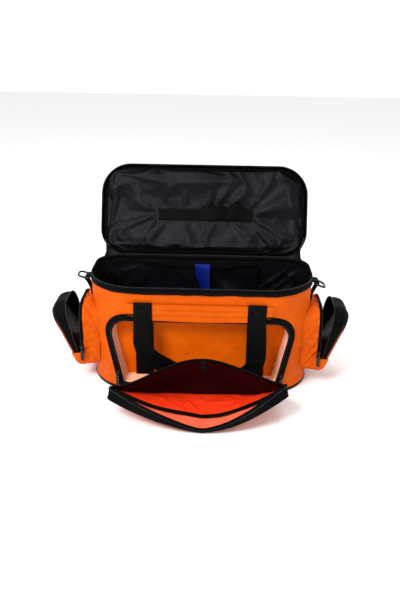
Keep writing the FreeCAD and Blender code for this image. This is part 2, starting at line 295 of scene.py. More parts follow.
def rounded(corners, step=OUTLINE_STEP):
    """Closed outline through corners (u, v, radius), rounded and evenly spaced."""
    at = np.array([complex(u, v) for u, v, _ in corners])
    arcs = []
    for here, before, after, corner in zip(at, np.roll(at, 1), np.roll(at, -1), corners):
        radius = corner[2]
        before, after = ((other - here) / abs(other - here) for other in (before, after))
        half = abs(np.angle(after / before)) / 2
        middle = here + (before + after) / abs(before + after) * radius / math.sin(half)
        start, end = (here + way * radius / math.tan(half) - middle for way in (before, after))
        turn = np.angle(end / start) * np.linspace(0, 1, 13)
        arcs.append(middle + start * np.exp(1j * turn))
    line = np.concatenate(arcs)
    return resample(np.column_stack([line.real, line.imag]), step, closed=True)


def opening_outline(inset, step=OUTLINE_STEP):
    """Outline of the front opening, drawn in by inset: x, z."""
    o, side = OPENING, inset * math.hypot(1, OPENING_SLOPE)
    low_x, low_z = o["half_low"] + OPENING_SLOPE * inset - side, o["low"] + inset
    high_x, high_z = o["half_high"] - OPENING_SLOPE * inset - side, o["high"] - inset
    low_r, high_r = (max(o[key] - inset, 2 * MM) for key in ("r_low", "r_high"))
    return rounded([(-low_x, low_z, low_r), (low_x, low_z, low_r),
                    (high_x, high_z, high_r), (-high_x, high_z, high_r)], step)


def inside(points, outline):
    """Which points (n, 2) lie inside the closed outline."""
    x, y = points[:, 0], points[:, 1]
    hit = np.zeros(len(x), bool)
    for (x0, y0), (x1, y1) in zip(outline, np.roll(outline, -1, 0)):
        crosses = (y0 > y) != (y1 > y)
        if crosses.any():
            hit ^= crosses & (x < (x1 - x0) * (y - y0) / ((y1 - y0) or 1e-12) + x0)
    return hit


POCKET_EDGE = rounded([(-POCKET_HALF, POCKET_LOW, POCKET_R_LOW),
                       (POCKET_HALF, POCKET_LOW, POCKET_R_LOW),
                       (POCKET_HALF, POCKET_TOP, POCKET_R_TOP),
                       (-POCKET_HALF, POCKET_TOP, POCKET_R_TOP)])
POCKET_OUT = unit(POCKET_EDGE - [0, POCKET_MID])
POCKET_GONE = np.arange(len(POCKET_EDGE)) * OUTLINE_STEP
POCKET_ZIP = open_part(POCKET_EDGE, POCKET_EDGE[:, 1] > POCKET_LOW + 12 * MM)


# ---- Mesh helpers ----
def new_mesh(name, points, faces, uvs=None):
    mesh = bpy.data.meshes.new(name)
    mesh.from_pydata([tuple(p) for p in points], [], faces)
    if uvs is not None:
        layer = mesh.uv_layers.new(name="UVMap")
        loops = np.empty(len(mesh.loops), np.int64)
        mesh.loops.foreach_get("vertex_index", loops)
        layer.data.foreach_set("uv", np.asarray(uvs, np.float32)[loops].ravel())
    mesh.polygons.foreach_set("use_smooth", np.ones(len(mesh.polygons), bool))
    mesh.update()
    obj = bpy.data.objects.new(name, mesh)
    bpy.context.scene.collection.objects.link(obj)
    return obj


def grid(name, points, thickness=0.0, closed=False, flip=False, drop=None, offset=-1.0):
    """Cloth from points (nu, nv, 3).  closed joins the first axis, drop removes faces."""
    nu, nv, _ = points.shape
    index = np.arange(nu * nv).reshape(nu, nv)
    if closed:
        index = np.vstack([index, index[:1]])
    a, b = index[:-1, :-1], index[1:, :-1]
    c, d = index[1:, 1:], index[:-1, 1:]
    faces = np.stack([a, b, c, d] if not flip else [a, d, c, b], -1).reshape(-1, 4)
    flat = points.reshape(-1, 3)
    if drop is not None:
        keep = ~drop(flat[faces].mean(1))
        faces = faces[keep]
    du = np.linalg.norm(np.diff(points, axis=0), axis=2).mean(1)
    dv = np.linalg.norm(np.diff(points, axis=1), axis=2).mean(0)
    uvs = np.stack(np.meshgrid(np.r_[0, np.cumsum(du)], np.r_[0, np.cumsum(dv)],
                               indexing="ij"), -1).reshape(-1, 2)
    used = np.unique(faces)
    renumber = np.zeros(nu * nv, np.int64)
    renumber[used] = np.arange(len(used))
    obj = new_mesh(name, flat[used], renumber[faces].tolist(), uvs[used])
    if thickness:
        solid = obj.modifiers.new("thickness", "SOLIDIFY")
        solid.thickness = thickness
        solid.offset = offset
    return obj


def loft(name, rings, caps=True):
    """Skin over closed rings (n, m, 3)."""
    n, m, _ = rings.shape
    index = np.arange(n * m).reshape(n, m)
    wrapped = np.hstack([index, index[:, :1]])
    faces = np.stack([wrapped[:-1, :-1], wrapped[:-1, 1:], wrapped[1:, 1:], wrapped[1:, :-1]],
                     -1).reshape(-1, 4).tolist()
    if caps:
        faces += [index[0][::-1].tolist(), index[-1].tolist()]
    uvs = np.stack(np.meshgrid(lengths(rings.mean(1)), lengths(rings[0]), indexing="ij"), -1)
    return new_mesh(name, rings.reshape(-1, 3), faces, uvs.reshape(-1, 2))


def webbing(name, path, across, width=WEBBING, thickness=2.2 * MM):
    """Flat woven strap: path (n, 3), across the unit direction of its width."""
    path = np.asarray(path, float)
    across = unit(np.broadcast_to(np.asarray(across, float), path.shape))
    along = tangents(path)
    across = unit(across - along * (across * along).sum(1)[:, None])
    out = np.cross(along, across)
    w = (np.zeros(len(path)) + width)[:, None, None] / 2
    t = thickness / 2
    profile = [((k / 4 - 1) * 0.97, t * (1 - 0.12 * (k % 2))) for k in range(9)]
    profile += [(1, t * 0.55), (1, -t * 0.55)]
    profile += [((k / 4 - 1) * 0.97, -t * (1 - 0.12 * (k % 2))) for k in range(8, -1, -1)]
    profile += [(-1, -t * 0.55), (-1, t * 0.55)]
    p = np.array(profile)
    rings = path[:, None] + across[:, None] * p[None, :, :1] * w + out[:, None] * p[None, :, 1:]
    return loft(name, rings)


def circles(along, up, sides):
    """Unit circles (n, sides, 3) square to each direction."""
    side = unit(np.cross(along, up))
    top = np.cross(side, along)
    turn = np.linspace(0, 2 * math.pi, sides, endpoint=False)[None, :, None]
    return side[:, None] * np.cos(turn) + top[:, None] * np.sin(turn)


def piping(name, path, radius, up):
    """Closed round cord along the path."""
    circle = circles(tangents(path, closed=True), np.asarray(up, float), 10)
    rings = path[:, None] + radius * circle
    obj = loft(name, np.concatenate([rings, rings[:1]]), caps=False)
    obj.modifiers.new("weld", "WELD").merge_threshold = 1e-5
    return obj


def rods(name, starts, ends, radius, sides=6):
    """Many short round rods, such as stitches or zip teeth, in one mesh."""
    starts, ends = np.asarray(starts, float), np.asarray(ends, float)
    along = unit(ends - starts)
    circle = circles(along, np.where(np.abs(along[:, 2:]) > 0.9, [[1.0, 0, 0]], [[0, 0, 1.0]]),
                     sides)
    points = np.stack([(starts + (ends - starts) * at)[:, None] + circle * radius * scale
                       for at, scale in ((0.0, 0.45), (0.14, 1.0), (0.86, 1.0), (1.0, 0.45))],
                      1).reshape(-1, 3)
    index = np.arange(len(points)).reshape(-1, 4, sides)
    turned = np.roll(index, -1, 2)
    walls = np.stack([index[:, :-1], turned[:, :-1], turned[:, 1:], index[:, 1:]], -1)
    faces = (walls.reshape(-1, 4).tolist() + index[:, 0, ::-1].tolist()
             + index[:, 3].tolist())
    return new_mesh(name, points, faces)


def stitches(name, lines, pitch=4.2 * MM, share=0.7, radius=0.38 * MM):
    """Running stitches along one or more lines of points."""
    starts, ends = [], []
    for line in lines:
        line = resample(line, pitch / 6)
        step = 6
        for k in range(0, len(line) - step, step):
            starts.append(line[k])
            ends.append(line[k + int(round(step * share))])
    return rods(name, starts, ends, radius)


def zip_coil(name, path, across, pitch=1.6 * MM, reach=3.2 * MM, radius=0.62 * MM, closed=False):
    """Row of coil teeth: each lies across the path."""
    line = resample(path, pitch, closed)
    old = np.asarray(path, float)
    near = [int(np.argmin(((old - p) ** 2).sum(1))) for p in line]
    side = unit(np.broadcast_to(np.asarray(across, float), old.shape))[near]
    return rods(name, line - side * reach / 2, line + side * reach / 2, radius)


def finish_piece(obj, body, material, replaces=()):
    obj.data.materials.clear()
    obj.data.materials.append(material)
    if body:
        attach(obj, body)
    if replaces:
        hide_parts(*replaces)
    return obj


def crumple(obj, pinned, grow=0.014, frames=22, limit=3 * MM, stiffness=8.0):
    """Lets a cloth that is a little too large for its frame buckle, then keeps the shape."""
    scene = bpy.context.scene
    rest = np.array([v.co for v in obj.data.vertices])
    group = obj.vertex_groups.new(name="pinned")
    group.add([int(k) for k in np.flatnonzero(pinned)], 1.0, "REPLACE")
    cloth = obj.modifiers.new("cloth", "CLOTH")
    for name, value in dict(
            quality=6, mass=0.15, tension_stiffness=stiffness, compression_stiffness=stiffness,
            shear_stiffness=stiffness / 2, bending_stiffness=0.15, vertex_group_mass="pinned",
            shrink_min=-grow).items():
        setattr(cloth.settings, name, value)
    cloth.settings.effector_weights.gravity = 0.0
    cloth.collision_settings.use_collision = False
    cloth.point_cache.frame_start = 1
    cloth.point_cache.frame_end = frames
    for k in range(1, frames + 1):
        scene.frame_set(k)
    shaped = obj.evaluated_get(bpy.context.evaluated_depsgraph_get())
    found = np.array([v.co for v in shaped.to_mesh().vertices])
    shaped.to_mesh_clear()
    obj.modifiers.remove(cloth)
    scene.frame_set(1)
    moved = found - rest
    size = np.linalg.norm(moved, axis=1, keepdims=True)
    moved *= np.minimum(1, limit / np.maximum(size, 1e-9))
    obj.data.vertices.foreach_set("co", (rest + moved).astype(np.float32).ravel())
    obj.vertex_groups.clear()
    obj.data.update()


# ---- Materials ----
def new_material(name):
    material = bpy.data.materials.new(name)
    material.use_nodes = True
    return material, material.node_tree, material.node_tree.nodes["Principled BSDF"]


def put(tree, node, **values):
    """Links or sets a node's sockets; an underscore stands for a space in a socket's name."""
    for name, value in values.items():
        socket = node.inputs[name.replace("_", " ")]
        if isinstance(value, bpy.types.NodeSocket):
            tree.links.new(value, socket)
        else:
            socket.default_value = value
    return node


def made(tree, kind, **values):
    return put(tree, tree.nodes.new("ShaderNode" + kind), **values)


def calculated(tree, operation, *values):
    node = made(tree, "Math")
    node.operation = operation
    for socket, value in zip(node.inputs, values):
        if isinstance(value, float):
            socket.default_value = value
        else:
            tree.links.new(value, socket)
    return node.outputs[0]


def ranged(tree, value, low, high, to_low, to_high):
    """Maps the range low to high onto to_low to to_high."""
    return made(tree, "MapRange", Value=value, From_Min=low, From_Max=high, To_Min=to_low,
                To_Max=to_high).outputs["Result"]


def surface(tree, shader, shade, dark, light, gloss, rough, height, bump, deep):
    """Colour between two stops (place, colour), roughness from gloss and bumps from height."""
    ramp = made(tree, "ValToRGB", Fac=shade)
    for stop, (place, colour) in zip(ramp.color_ramp.elements, (dark, light)):
        stop.position = place
        stop.color = (*colour, 1)
    bumps = made(tree, "Bump", Height=height, Strength=bump, Distance=deep)
    put(tree, shader, Base_Color=ramp.outputs["Color"], Roughness=ranged(tree, *gloss, *rough),
        Normal=bumps.outputs["Normal"])


def fabric(name, light, dark, weave=0.9 * MM, rough=(0.42, 0.6), bump=0.35, rib=False,
           crinkle=0.3, gloss=0.25, tint=(1, 1, 1)):
    """Woven cloth: crossed threads, uneven dye, worn and smooth patches, fine crinkles."""
    material, tree, shader = new_material(name)
    at = made(tree, "TexCoord").outputs
    threads = []
    for direction, scale in (("X", 1.0), ("Y", 0.35 if rib else 1.0)):
        wave = made(tree, "TexWave", Vector=at["UV"], Scale=0.314 / weave * scale,
                    Distortion=0.6, Detail=1.0)
        wave.bands_direction = direction
        threads.append(wave.outputs["Fac"])
    woven = calculated(tree, "MULTIPLY", *threads)
    patches = made(tree, "TexNoise", Vector=at["Object"], Scale=26.0, Detail=5.0,
                   Roughness=0.6).outputs["Fac"]
    crinkles = made(tree, "TexNoise", Vector=at["Object"], Scale=160.0, Detail=4.0,
                    Distortion=1.2).outputs["Fac"]
    shade = calculated(tree, "ADD", calculated(tree, "MULTIPLY", woven, 0.30), patches)
    height = calculated(tree, "ADD", calculated(tree, "MULTIPLY", crinkles, crinkle), woven)
    surface(tree, shader, shade, (0.32, dark), (0.85, light), (patches, 0.3, 0.7), rough,
            height, bump, 0.4 * MM)
    put(tree, shader, Specular_IOR_Level=gloss, Specular_Tint=(*tint, 1))
    return material


def moulded(name, light, dark, rough, coat, metallic=0.0):
    """Moulded plastic or enamelled metal: fine grain, scuffs and uneven gloss."""
    material, tree, shader = new_material(name)
    at = made(tree, "TexCoord").outputs["Object"]
    scuffs = made(tree, "TexNoise", Vector=at, Scale=90.0, Detail=6.0).outputs["Fac"]
    grain = made(tree, "TexNoise", Vector=at, Scale=400.0).outputs["Fac"]
    surface(tree, shader, scuffs, (0.35, dark), (0.75, light), (scuffs, 0.0, 1.0), rough,
            grain, 0.12, 0.2 * MM)
    put(tree, shader, Metallic=metallic, Specular_IOR_Level=0.3, Coat_Weight=coat)
    return material


ORANGE = fabric("orange_nylon", (0.66, 0.099, 0.0015), (0.54, 0.070, 0.001), rough=(0.38, 0.52),
                gloss=0.055)
# The shell's orange nylon painted lighter: painted light that makes up for the shade in the front
# pocket's recess.
ORANGE_PAINTED_LIGHTER = fabric("orange_nylon_painted_lighter", (0.92, 0.150, 0.0015), (0.80, 0.110, 0.001), gloss=0.05)
SALMON = fabric("salmon_nylon", (0.98, 0.50, 0.32), (0.92, 0.42, 0.25), weave=0.6 * MM, gloss=0.1)
RED = fabric("red_lining_nylon", (1.00, 0.048, 0.007), (0.90, 0.026, 0.004), weave=0.6 * MM,
             rough=(0.36, 0.5), gloss=0.3)
SALMON_RED = fabric("salmon_red_nylon", (0.80, 0.13, 0.06), (0.70, 0.085, 0.035), weave=0.6 * MM)
# Black nylon of the organiser's face, painted near black with a red tint: painted shade with
# painted red light bounced off the red slip pocket.
BLACK_PAINTED_RED_BOUNCE = fabric("black_nylon_painted_red_bounce", (0.022, 0.0008, 0.0008), (0.010, 0.0004, 0.0004), weave=1.4 * MM,
                gloss=0.05)
LINING = fabric("black_lining_nylon", (0.0046, 0.0044, 0.0060), (0.0024, 0.0023, 0.0033),
                weave=0.6 * MM, rough=(0.20, 0.31), gloss=0.11, crinkle=0.6,
                tint=(0.94, 0.91, 1.0))
TAPE = fabric("black_zip_tape", (0.0022, 0.0022, 0.0024), (0.0010, 0.0010, 0.0011), weave=1.1 * MM,
              rough=(0.5, 0.68), gloss=0.035)
STRAP = fabric("black_webbing", (0.0030, 0.0030, 0.0033), (0.0014, 0.0014, 0.0015),
               weave=1.5 * MM, rib=True, bump=0.7, rough=(0.48, 0.66), gloss=0.045)
BLUE = fabric("blue_webbing", (0.002, 0.012, 0.19), (0.001, 0.006, 0.10), weave=1.5 * MM, rib=True,
              bump=0.6, gloss=0.08)
BASE = fabric("black_base_fabric", (0.009, 0.009, 0.010), (0.005, 0.005, 0.005), weave=1.6 * MM)
ORANGE_THREAD = moulded("orange_thread", (0.70, 0.15, 0.02), (0.50, 0.09, 0.01), (0.6, 0.8), 0.0)
BLACK_THREAD = moulded("black_thread", (0.006, 0.006, 0.0065), (0.003, 0.003, 0.0033),
                       (0.55, 0.75), 0.0)
COIL = moulded("zip_coil", (0.014, 0.014, 0.015), (0.006, 0.006, 0.0065), (0.3, 0.45), 0.05)
RING = moulded("ring_plastic", (0.006, 0.006, 0.0065), (0.003, 0.003, 0.0033), (0.2, 0.34), 0.04)
SLIDER = moulded("slider_enamel", (0.03, 0.03, 0.032), (0.010, 0.010, 0.011), (0.25, 0.4), 0.1,
                 metallic=0.6)
BOARD = moulded("stiffener_board", (0.06, 0.06, 0.06), (0.03, 0.03, 0.03), (0.6, 0.8), 0.0)


def tape(obj, body="bag", replaces=()):
    return finish_piece(obj, body, TAPE, replaces)


def teeth(obj, body="bag"):
    return finish_piece(obj, body, COIL)


def orange(obj, body="bag", replaces=()):
    return finish_piece(obj, body, ORANGE, replaces)


def orange_thread(obj):
    return finish_piece(obj, "bag", ORANGE_THREAD)


def black_cloth(obj, body="bag", replaces=()):
    return finish_piece(obj, body, LINING, replaces)


def strap(obj, body="bag", replaces=()):
    return finish_piece(obj, body, STRAP, replaces)


# ---- Body shell ----
def shell_offset(t, z):
    """How far the cloth of the shell stands off its plan."""
    s = t * GIRTH
    tall = (z - SHELL_LOW) / (SHELL_TOP - SHELL_LOW)
    slack = np.sin(np.clip(tall, 0, 1) * math.pi)
    soft = 2.2 * MM * slack * noise(s / 0.085, z / 0.075, 3)
    fine = 3.2 * MM * slack * (creases(s / 0.062 + z / 0.10, z / 0.050, 8) - 0.35)
    top = np.exp(-(SHELL_TOP - z) / 0.020)
    foot = np.exp(-np.abs(z - 0.021) / 0.014)
    pucker = 1.7 * MM * top * noise(s / 0.019, z / 0.05, 11)
    pucker = pucker + 1.1 * MM * foot * noise(s / 0.024, z / 0.03, 12)
    tuck = -1.6 * MM * np.exp(-((z - 0.0205) / 0.0024) ** 2)
    return soft + fine + pucker + tuck


def make_shell():
    """Outer cloth with the front opening cut out, held flatter under the storm flap."""
    t, z = around_spread(640, SHELL_LOW, SHELL_TOP + 1.5 * MM, 108)
    x, y, nx, ny = around(t)
    calm = smooth(0, 18 * MM, np.abs(z - STORM_MID)) + (y > 0)
    calm = calm + (np.abs(x) > STORM_HALF + 13 * MM)
    off = shell_offset(t, z) * np.clip(calm, 0.15, 1)
    hole = opening_outline(3.0 * MM)

    def in_opening(centres):
        return (centres[:, 1] < 0) & inside(centres[:, [0, 2]], hole)

    orange(grid("shell_fabric", xyz(x + nx * off, y + ny * off, z), 2.2 * MM, closed=True,
                drop=in_opening), replaces=["shell_outer"])


def rim_line(z, out, wave=0.0):
    """Line round the rim at height z, out proud of the plan but close to it at the rear."""
    t = np.arange(480) / 480
    x, y, nx, ny = around(t)
    lift = wave * noise(t * GIRTH / 0.028, t * 0 + 0.5, 21)
    far = out - np.clip(ny, 0, 1) ** 4 * max(out - 0.8 * MM, 0)
    return xyz(x + nx * far, y + ny * far, z + lift)


def make_rim():
    """Zip tape with its binding, rolled over the top edge of the shell."""
    levels = [(RIM_TOP - 13 * MM, -4.2, 0.3), (RIM_TOP - 3 * MM, -3.6, 0.2),
              (RIM_TOP - 1.6 * MM, -2.0, 0.1), (RIM_TOP - 1.6 * MM, 0.9, 0.1),
              (RIM_TOP - 2.6 * MM, 1.0, 0.2), (SHELL_TOP + 5.0 * MM, 0.9, 0.3),
              (SHELL_TOP + 4.4 * MM, 1.2, 0.4), (SHELL_TOP + 3.4 * MM, 2.3, 0.6),
              (SHELL_TOP - 0.8 * MM, 2.4, 1.0), (SHELL_TOP - 1.5 * MM, 1.4, 1.0)]
    rings = [rim_line(z, out * MM, wave * MM) for z, out, wave in levels]
    tape(grid("rim_zip_tape_cloth", np.stack(rings, 1), 1.1 * MM, closed=True, flip=True),
         replaces=["rim_zip_tape"])
    teeth(zip_coil("rim_zip_coil", rim_line(RIM_TOP - 1.0 * MM, 0.3 * MM), (0, 0, 1),
                   closed=True))
    lines = [looped(rim_line(SHELL_TOP + 1.6 * MM, 2.5 * MM)),
             looped(rim_line(RIM_TOP - 10.5 * MM, -4.9 * MM))]
    finish_piece(stitches("rim_stitches", lines), "bag", BLACK_THREAD)


# ---- Lining and inner pockets ----
def lining_wall():
    """Slack lining round the compartment, pushed in where the front pocket is recessed."""
    t, z = around_spread(430, 8.0 * MM, RIM_TOP - 12 * MM, 84)
    x, y, nx, ny = around(t)
    s = t * GIRTH
    slack = smooth(0, 0.03, z) * (1 - smooth(RIM_TOP - 0.045, RIM_TOP - 0.014, z))
    wrinkle = 3.4 * MM * creases(s / 0.055 + z / 0.05, z / 0.09, 31) * slack
    wrinkle = wrinkle + 1.6 * MM * creases(s / 0.022, z / 0.05, 33) * slack
    inset = 4.0 * MM + wrinkle
    x, y = x - nx * inset, y - ny * inset
    edge = OPENING["half_low"] + 6 * MM + OPENING_SLOPE * (z - OPENING["low"])
    recess = (1 - smooth(edge - 8 * MM, edge + 6 * MM, np.abs(x))) * (ny < -0.2)
    recess = recess * (1 - smooth(0.170, 0.192, z))
    y = y + np.maximum(RECESS_Y + 7.5 * MM + wrinkle - y, 0) * recess
    wall = black_cloth(grid("compartment_lining_cloth", xyz(x, y, z), 0.8 * MM, closed=True,
                            flip=True), replaces=["compartment_lining"])


def lining_floor():
    """Loose cloth over the stiffener board."""
    x, y = plan_grid(5.5 * MM, 150, 60, HALF_D)
    z = 7.6 * MM + 1.1 * MM * creases(x / 0.07, y / 0.06, 41)
    floor = black_cloth(grid("compartment_floor_cloth", xyz(x, y, z), 0.8 * MM))


def rear_slip_pocket():
    """Slip pocket hanging slack on the rear wall, its hem sagging in the middle."""
    low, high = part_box("rear_wall_pocket")
    u, v = spread(0, 1, 0, 1, 130, 60)
    x = (low.x - 8 * MM) + (high.x - low.x + 16 * MM) * u
    hem = high.z - 1 * MM - 9 * MM * arch(u) ** 0.8
    z = low.z + (hem - low.z) * v
    sag = arch(u) ** 0.7
    y = high.y - 1 * MM - sag * 3 * MM * (smooth(0.2, 0.9, v) - 0.4 * smooth(0.9, 1.0, v))
    y = y - 2.0 * MM * sag * creases(x / 0.045 + z / 0.06, z / 0.07, 51)
    slack = np.exp(-((x - 62 * MM) / 0.034) ** 2) * smooth(0.45, 0.75, v)
    y = y - 7 * MM * slack * (0.55 + 0.45 * np.cos((z + 0.4 * x) / 0.0095))
    pocket = black_cloth(grid("rear_slip_pocket_cloth", xyz(x, y, z), 0.8 * MM, flip=True),
                         replaces=["rear_wall_pocket"])
    edge = xyz(x, y - 0.6 * MM, z)[:, -1]
    tape(webbing("rear_slip_pocket_hem", edge, (0, 0, 1), 8 * MM, 1.6 * MM))


def end_slip_pocket(side):
    """Gathered elastic pocket inside one rounded end."""
    s, v = spread(-0.050, 0.098, 0, 1, 170, 46)
    end_middle = STRAIGHT + HALF_D * math.pi / 2
    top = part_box(side + "_end_pocket")[1].z
    gather = 2.4 * MM * smooth(0.15, 1.0, v)
    ripple = gather * np.sin(s / MM * 0.62 + 1.4 * noise(s * 60, v * 2, 61))
    ripple = ripple + 3.4 * MM * creases(s * 40, v * 2 + s * 10, 63) * (1 - v * 0.5)
    x, y, nx, ny = around((end_middle + s) / GIRTH)
    inset = 15 * MM + ripple + 6 * MM * arch(v)
    z = 9 * MM + (top + 2 * MM - 9 * MM) * v - 4 * MM * v * np.cos(s * 30)
    points = mirrored(xyz(x - nx * inset, y - ny * inset, z), side)
    pocket = black_cloth(grid(side + "_end_slip_pocket_cloth", points, 0.8 * MM,
                              flip=side == "right"), replaces=[side + "_end_pocket"])
    tape(webbing(side + "_end_slip_pocket_hem", points[:, -1], (0, 0, 1), 11 * MM, 1.8 * MM))


def blue_strap():
    """Loop strap sewn in at the back of the rim, twisting as it hangs into the bag."""
    low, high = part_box("blue_strap")
    y = low.y - 4 * MM
    path = spline([(0, y + 6 * MM, high.z + 2 * MM), (0, y + 1 * MM, high.z - 6 * MM),
                   (1 * MM, y - 1 * MM, 0.190), (4 * MM, y - 1 * MM, 0.165),
                   (6 * MM, y, low.z)], 10)
    twist = np.linspace(0, math.radians(58), len(path))
    finish_piece(webbing("blue_strap_webbing", path, xyz(np.cos(twist), -np.sin(twist), 0.08),
                         35 * MM, 2.0 * MM), "bag", BLUE, ["blue_strap"])


# ---- Front pocket ----
def outline_ring(inset, out):
    """Ring on the body's front, inset from the opening's edge and out proud of the shell."""
    flat = recount(opening_outline(inset * MM, FINE_STEP), 440)
    x, y = front_at(flat[:, 0], out * MM)
    return xyz(x, y, flat[:, 1])


def from_opening(ring):
    """Directions in the front plane, away from the middle of the opening."""
    return unit((ring - [0, 0, 0.09]) * [1, 0, 1])


def front_pocket_wall():
    """Back wall of the front pocket, bellied but flat under the straps."""
    u, v = spread(-1, 1, 0, 1, 180, 84)
    z = OPENING["low"] + 2 * MM + 160 * MM * v
    x = u * (0.162 + 0.030 * v)
    belly = (1 - u ** 4) * arch(v) ** 0.8
    belly = belly * (1 - 0.9 * np.exp(-((np.abs(x) - STRAP_X) / 0.026) ** 4))
    y = RECESS_Y - 2.5 * MM * belly - 2.2 * MM * noise(x / 0.09, z / 0.07, 71) * belly
    y = y - 1.8 * MM * creases(x / 0.08, z / 0.10, 72) * belly
    # The wall's orange is painted lighter than the shell's: painted light against the recess's
    # shade.
    finish_piece(grid("front_pocket_wall_cloth", xyz(x, y, z), 1.6 * MM, offset=1.0), "bag",
                 ORANGE_PAINTED_LIGHTER, ["front_pocket_wall"])


def front_pocket_gusset():
    """Salmon cloth between the edge of the opening and the recessed wall."""
    rings = []
    for d in np.linspace(0, 1, 12):
        ring = outline_ring(5 + 9.5 * d, -1.5)
        ring[:, 1] += (RECESS_Y - 1.0 * MM - ring[:, 1]) * d
        s = np.arange(len(ring)) * FINE_STEP
        ripple = 2.2 * MM * arch(d) * noise(s / 0.020, s * 0 + d * 2.2, 81)
        rings.append(ring - from_opening(ring) * (ripple + 1.5 * MM * d)[:, None])
    gusset = grid("front_pocket_gusset_cloth", np.stack(rings, 1), 0.7 * MM, closed=True)
    finish_piece(gusset, "bag", SALMON, ["front_pocket_gusset"])


def front_zip_tape():
    """Zip tape round the opening, with its coil and the seam outside it."""
    section = ((-2.8, 0.6), (-2.4, 2.0), (-0.8, 2.4), (2.6, 1.8), (6.0, 1.5), (9.8, 1.4),
               (10.4, 0.6))
    rings = [outline_ring(inset, out) for inset, out in section]
    tape(grid("front_zip_tape_cloth", np.stack(rings, 1), 1.2 * MM, closed=True, flip=True),
         replaces=["front_zip_tape"])
    path = outline_ring(9.2, 2.1)
    teeth(zip_coil("front_zip_coil", path, from_opening(path), closed=True, reach=2.6 * MM,
                   radius=0.55 * MM))
    finish_piece(stitches("front_zip_stitches", [looped(outline_ring(0.6, 2.8))]), "bag",
                 BLACK_THREAD)


def on_front(x, out, z):
    """Points on the body's front, out proud of it."""
    return xyz(*front_at(x, out), z)


def storm_flap():
    """Quilted strip over the opening, with three rows of stitches and a bar tack at each end."""
    u, v = spread(-1, 1, 0, 1, 190, 34)
    x = u * STORM_HALF
    low = 0.1665 + 0.0045 * np.abs(u) ** 1.6 + 0.0125 * smooth(0.104, 0.128, np.abs(x))
    z = low + (STORM_TOP - low) * v
    above = z - STORM_ROWS[0]
    quilt = np.abs(np.sin(above / 0.0115 * math.pi)) ** 0.6
    hem = arch(np.clip(-above / 0.016, 0, 1)) ** 0.7
    puff = 1.2 * MM * np.where(above < 0, hem, quilt)
    out = 2.6 * MM + puff + 0.7 * MM * noise(x / 0.030, z / 0.012, 91)
    out = out * smooth(0, 0.06, 1 - np.abs(u)) + 1.4 * MM
    orange(grid("storm_flap_cloth", on_front(x, out, z), 1.4 * MM), replaces=["storm_flap"])
    along = (STORM_HALF - 6 * MM) * np.linspace(-1, 1, 140)
    lines = [on_front(along, 4.0 * MM, row) for row in STORM_ROWS]
    orange_thread(stitches("storm_flap_stitches", lines, pitch=3.6 * MM, radius=0.36 * MM))
    tall = np.linspace(STORM_TOP - 22 * MM, STORM_TOP, 12)
    bars = [on_front(sign * (STORM_HALF - 1.5 * MM) + 0 * tall, 2.2 * MM, tall)
            for sign in (-1, 1)]
    orange_thread(stitches("storm_flap_bar_tacks", bars, pitch=1.6 * MM, share=0.9,
                           radius=0.5 * MM))


def box_stitch(x, y, z_low, z_high, half):
    """Outline and cross of the stitching that holds a strap's end."""
    a, b = x - half, x + half
    corners = [(a, y, z_low), (b, y, z_low), (b, y, z_high), (a, y, z_high), (a, y, z_low)]
    return [np.array(corners), np.array([corners[0], corners[2]]),
            np.array([corners[1], corners[3]])]


def load_webbing():
    """Straps sewn up the front and the rear, in line with the handles."""
    for place, shift, count in (("front", 2 * MM, 10), ("rear", 0, 14)):
        low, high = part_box(place + "_load_webbing")
        for side, sign in SIGN.items():
            x = sign * (STRAP_X + shift)
            if place == "front":
                path = [(x, low.y - 0.6 * MM, high.z + 8 * MM), (x, low.y - 1.2 * MM, 0.10),
                        (x, low.y - 0.8 * MM, 0.05), (x, low.y - 3.0 * MM, 0.014)]
            else:
                path = [(x, high.y, high.z), (x, high.y + 0.6 * MM, 0.12), (x, high.y, low.z)]
            strap(webbing(place + "_load_webbing_" + side, spline(path, count), (1, 0, 0)),
                  replaces=[place + "_load_webbing"] if side == "left" else ())


# ---- Handles ----
def handle(place, sign, line, lie):
    """One carrying loop with its sewn ends, bending where it leaves the stitching.

    line gives x, the distance proud of the anchor in millimetres, and z; lie is the direction
    of the webbing's width at the same points.
    """
    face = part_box(place + "_handle_anchor")[(sign + 1) // 2].y
    path = spline([(x, face + sign * out * MM, z) for x, out, z in line], 9)
    across = spline(lie, 9)
    across = columns_at(np.linspace(0, 1, len(path)), np.linspace(0, 1, len(across)), across)
    loop = strap(webbing(place + "_handle_webbing", path, across), None,
                 [place + "_handle_anchor", place + "_handle_loop"])
    y = path[0][1]
    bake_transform(loop)
    lines = []
    for x in (-STRAP_X, STRAP_X):
        lines += box_stitch(x, y + sign * 1.5 * MM, STRAP_FREE + 9 * MM, STRAP_TOP - 3 * MM,
                            15 * MM)
    finish_piece(stitches(place + "_handle_stitches", lines), "bag",
                 BLACK_THREAD)


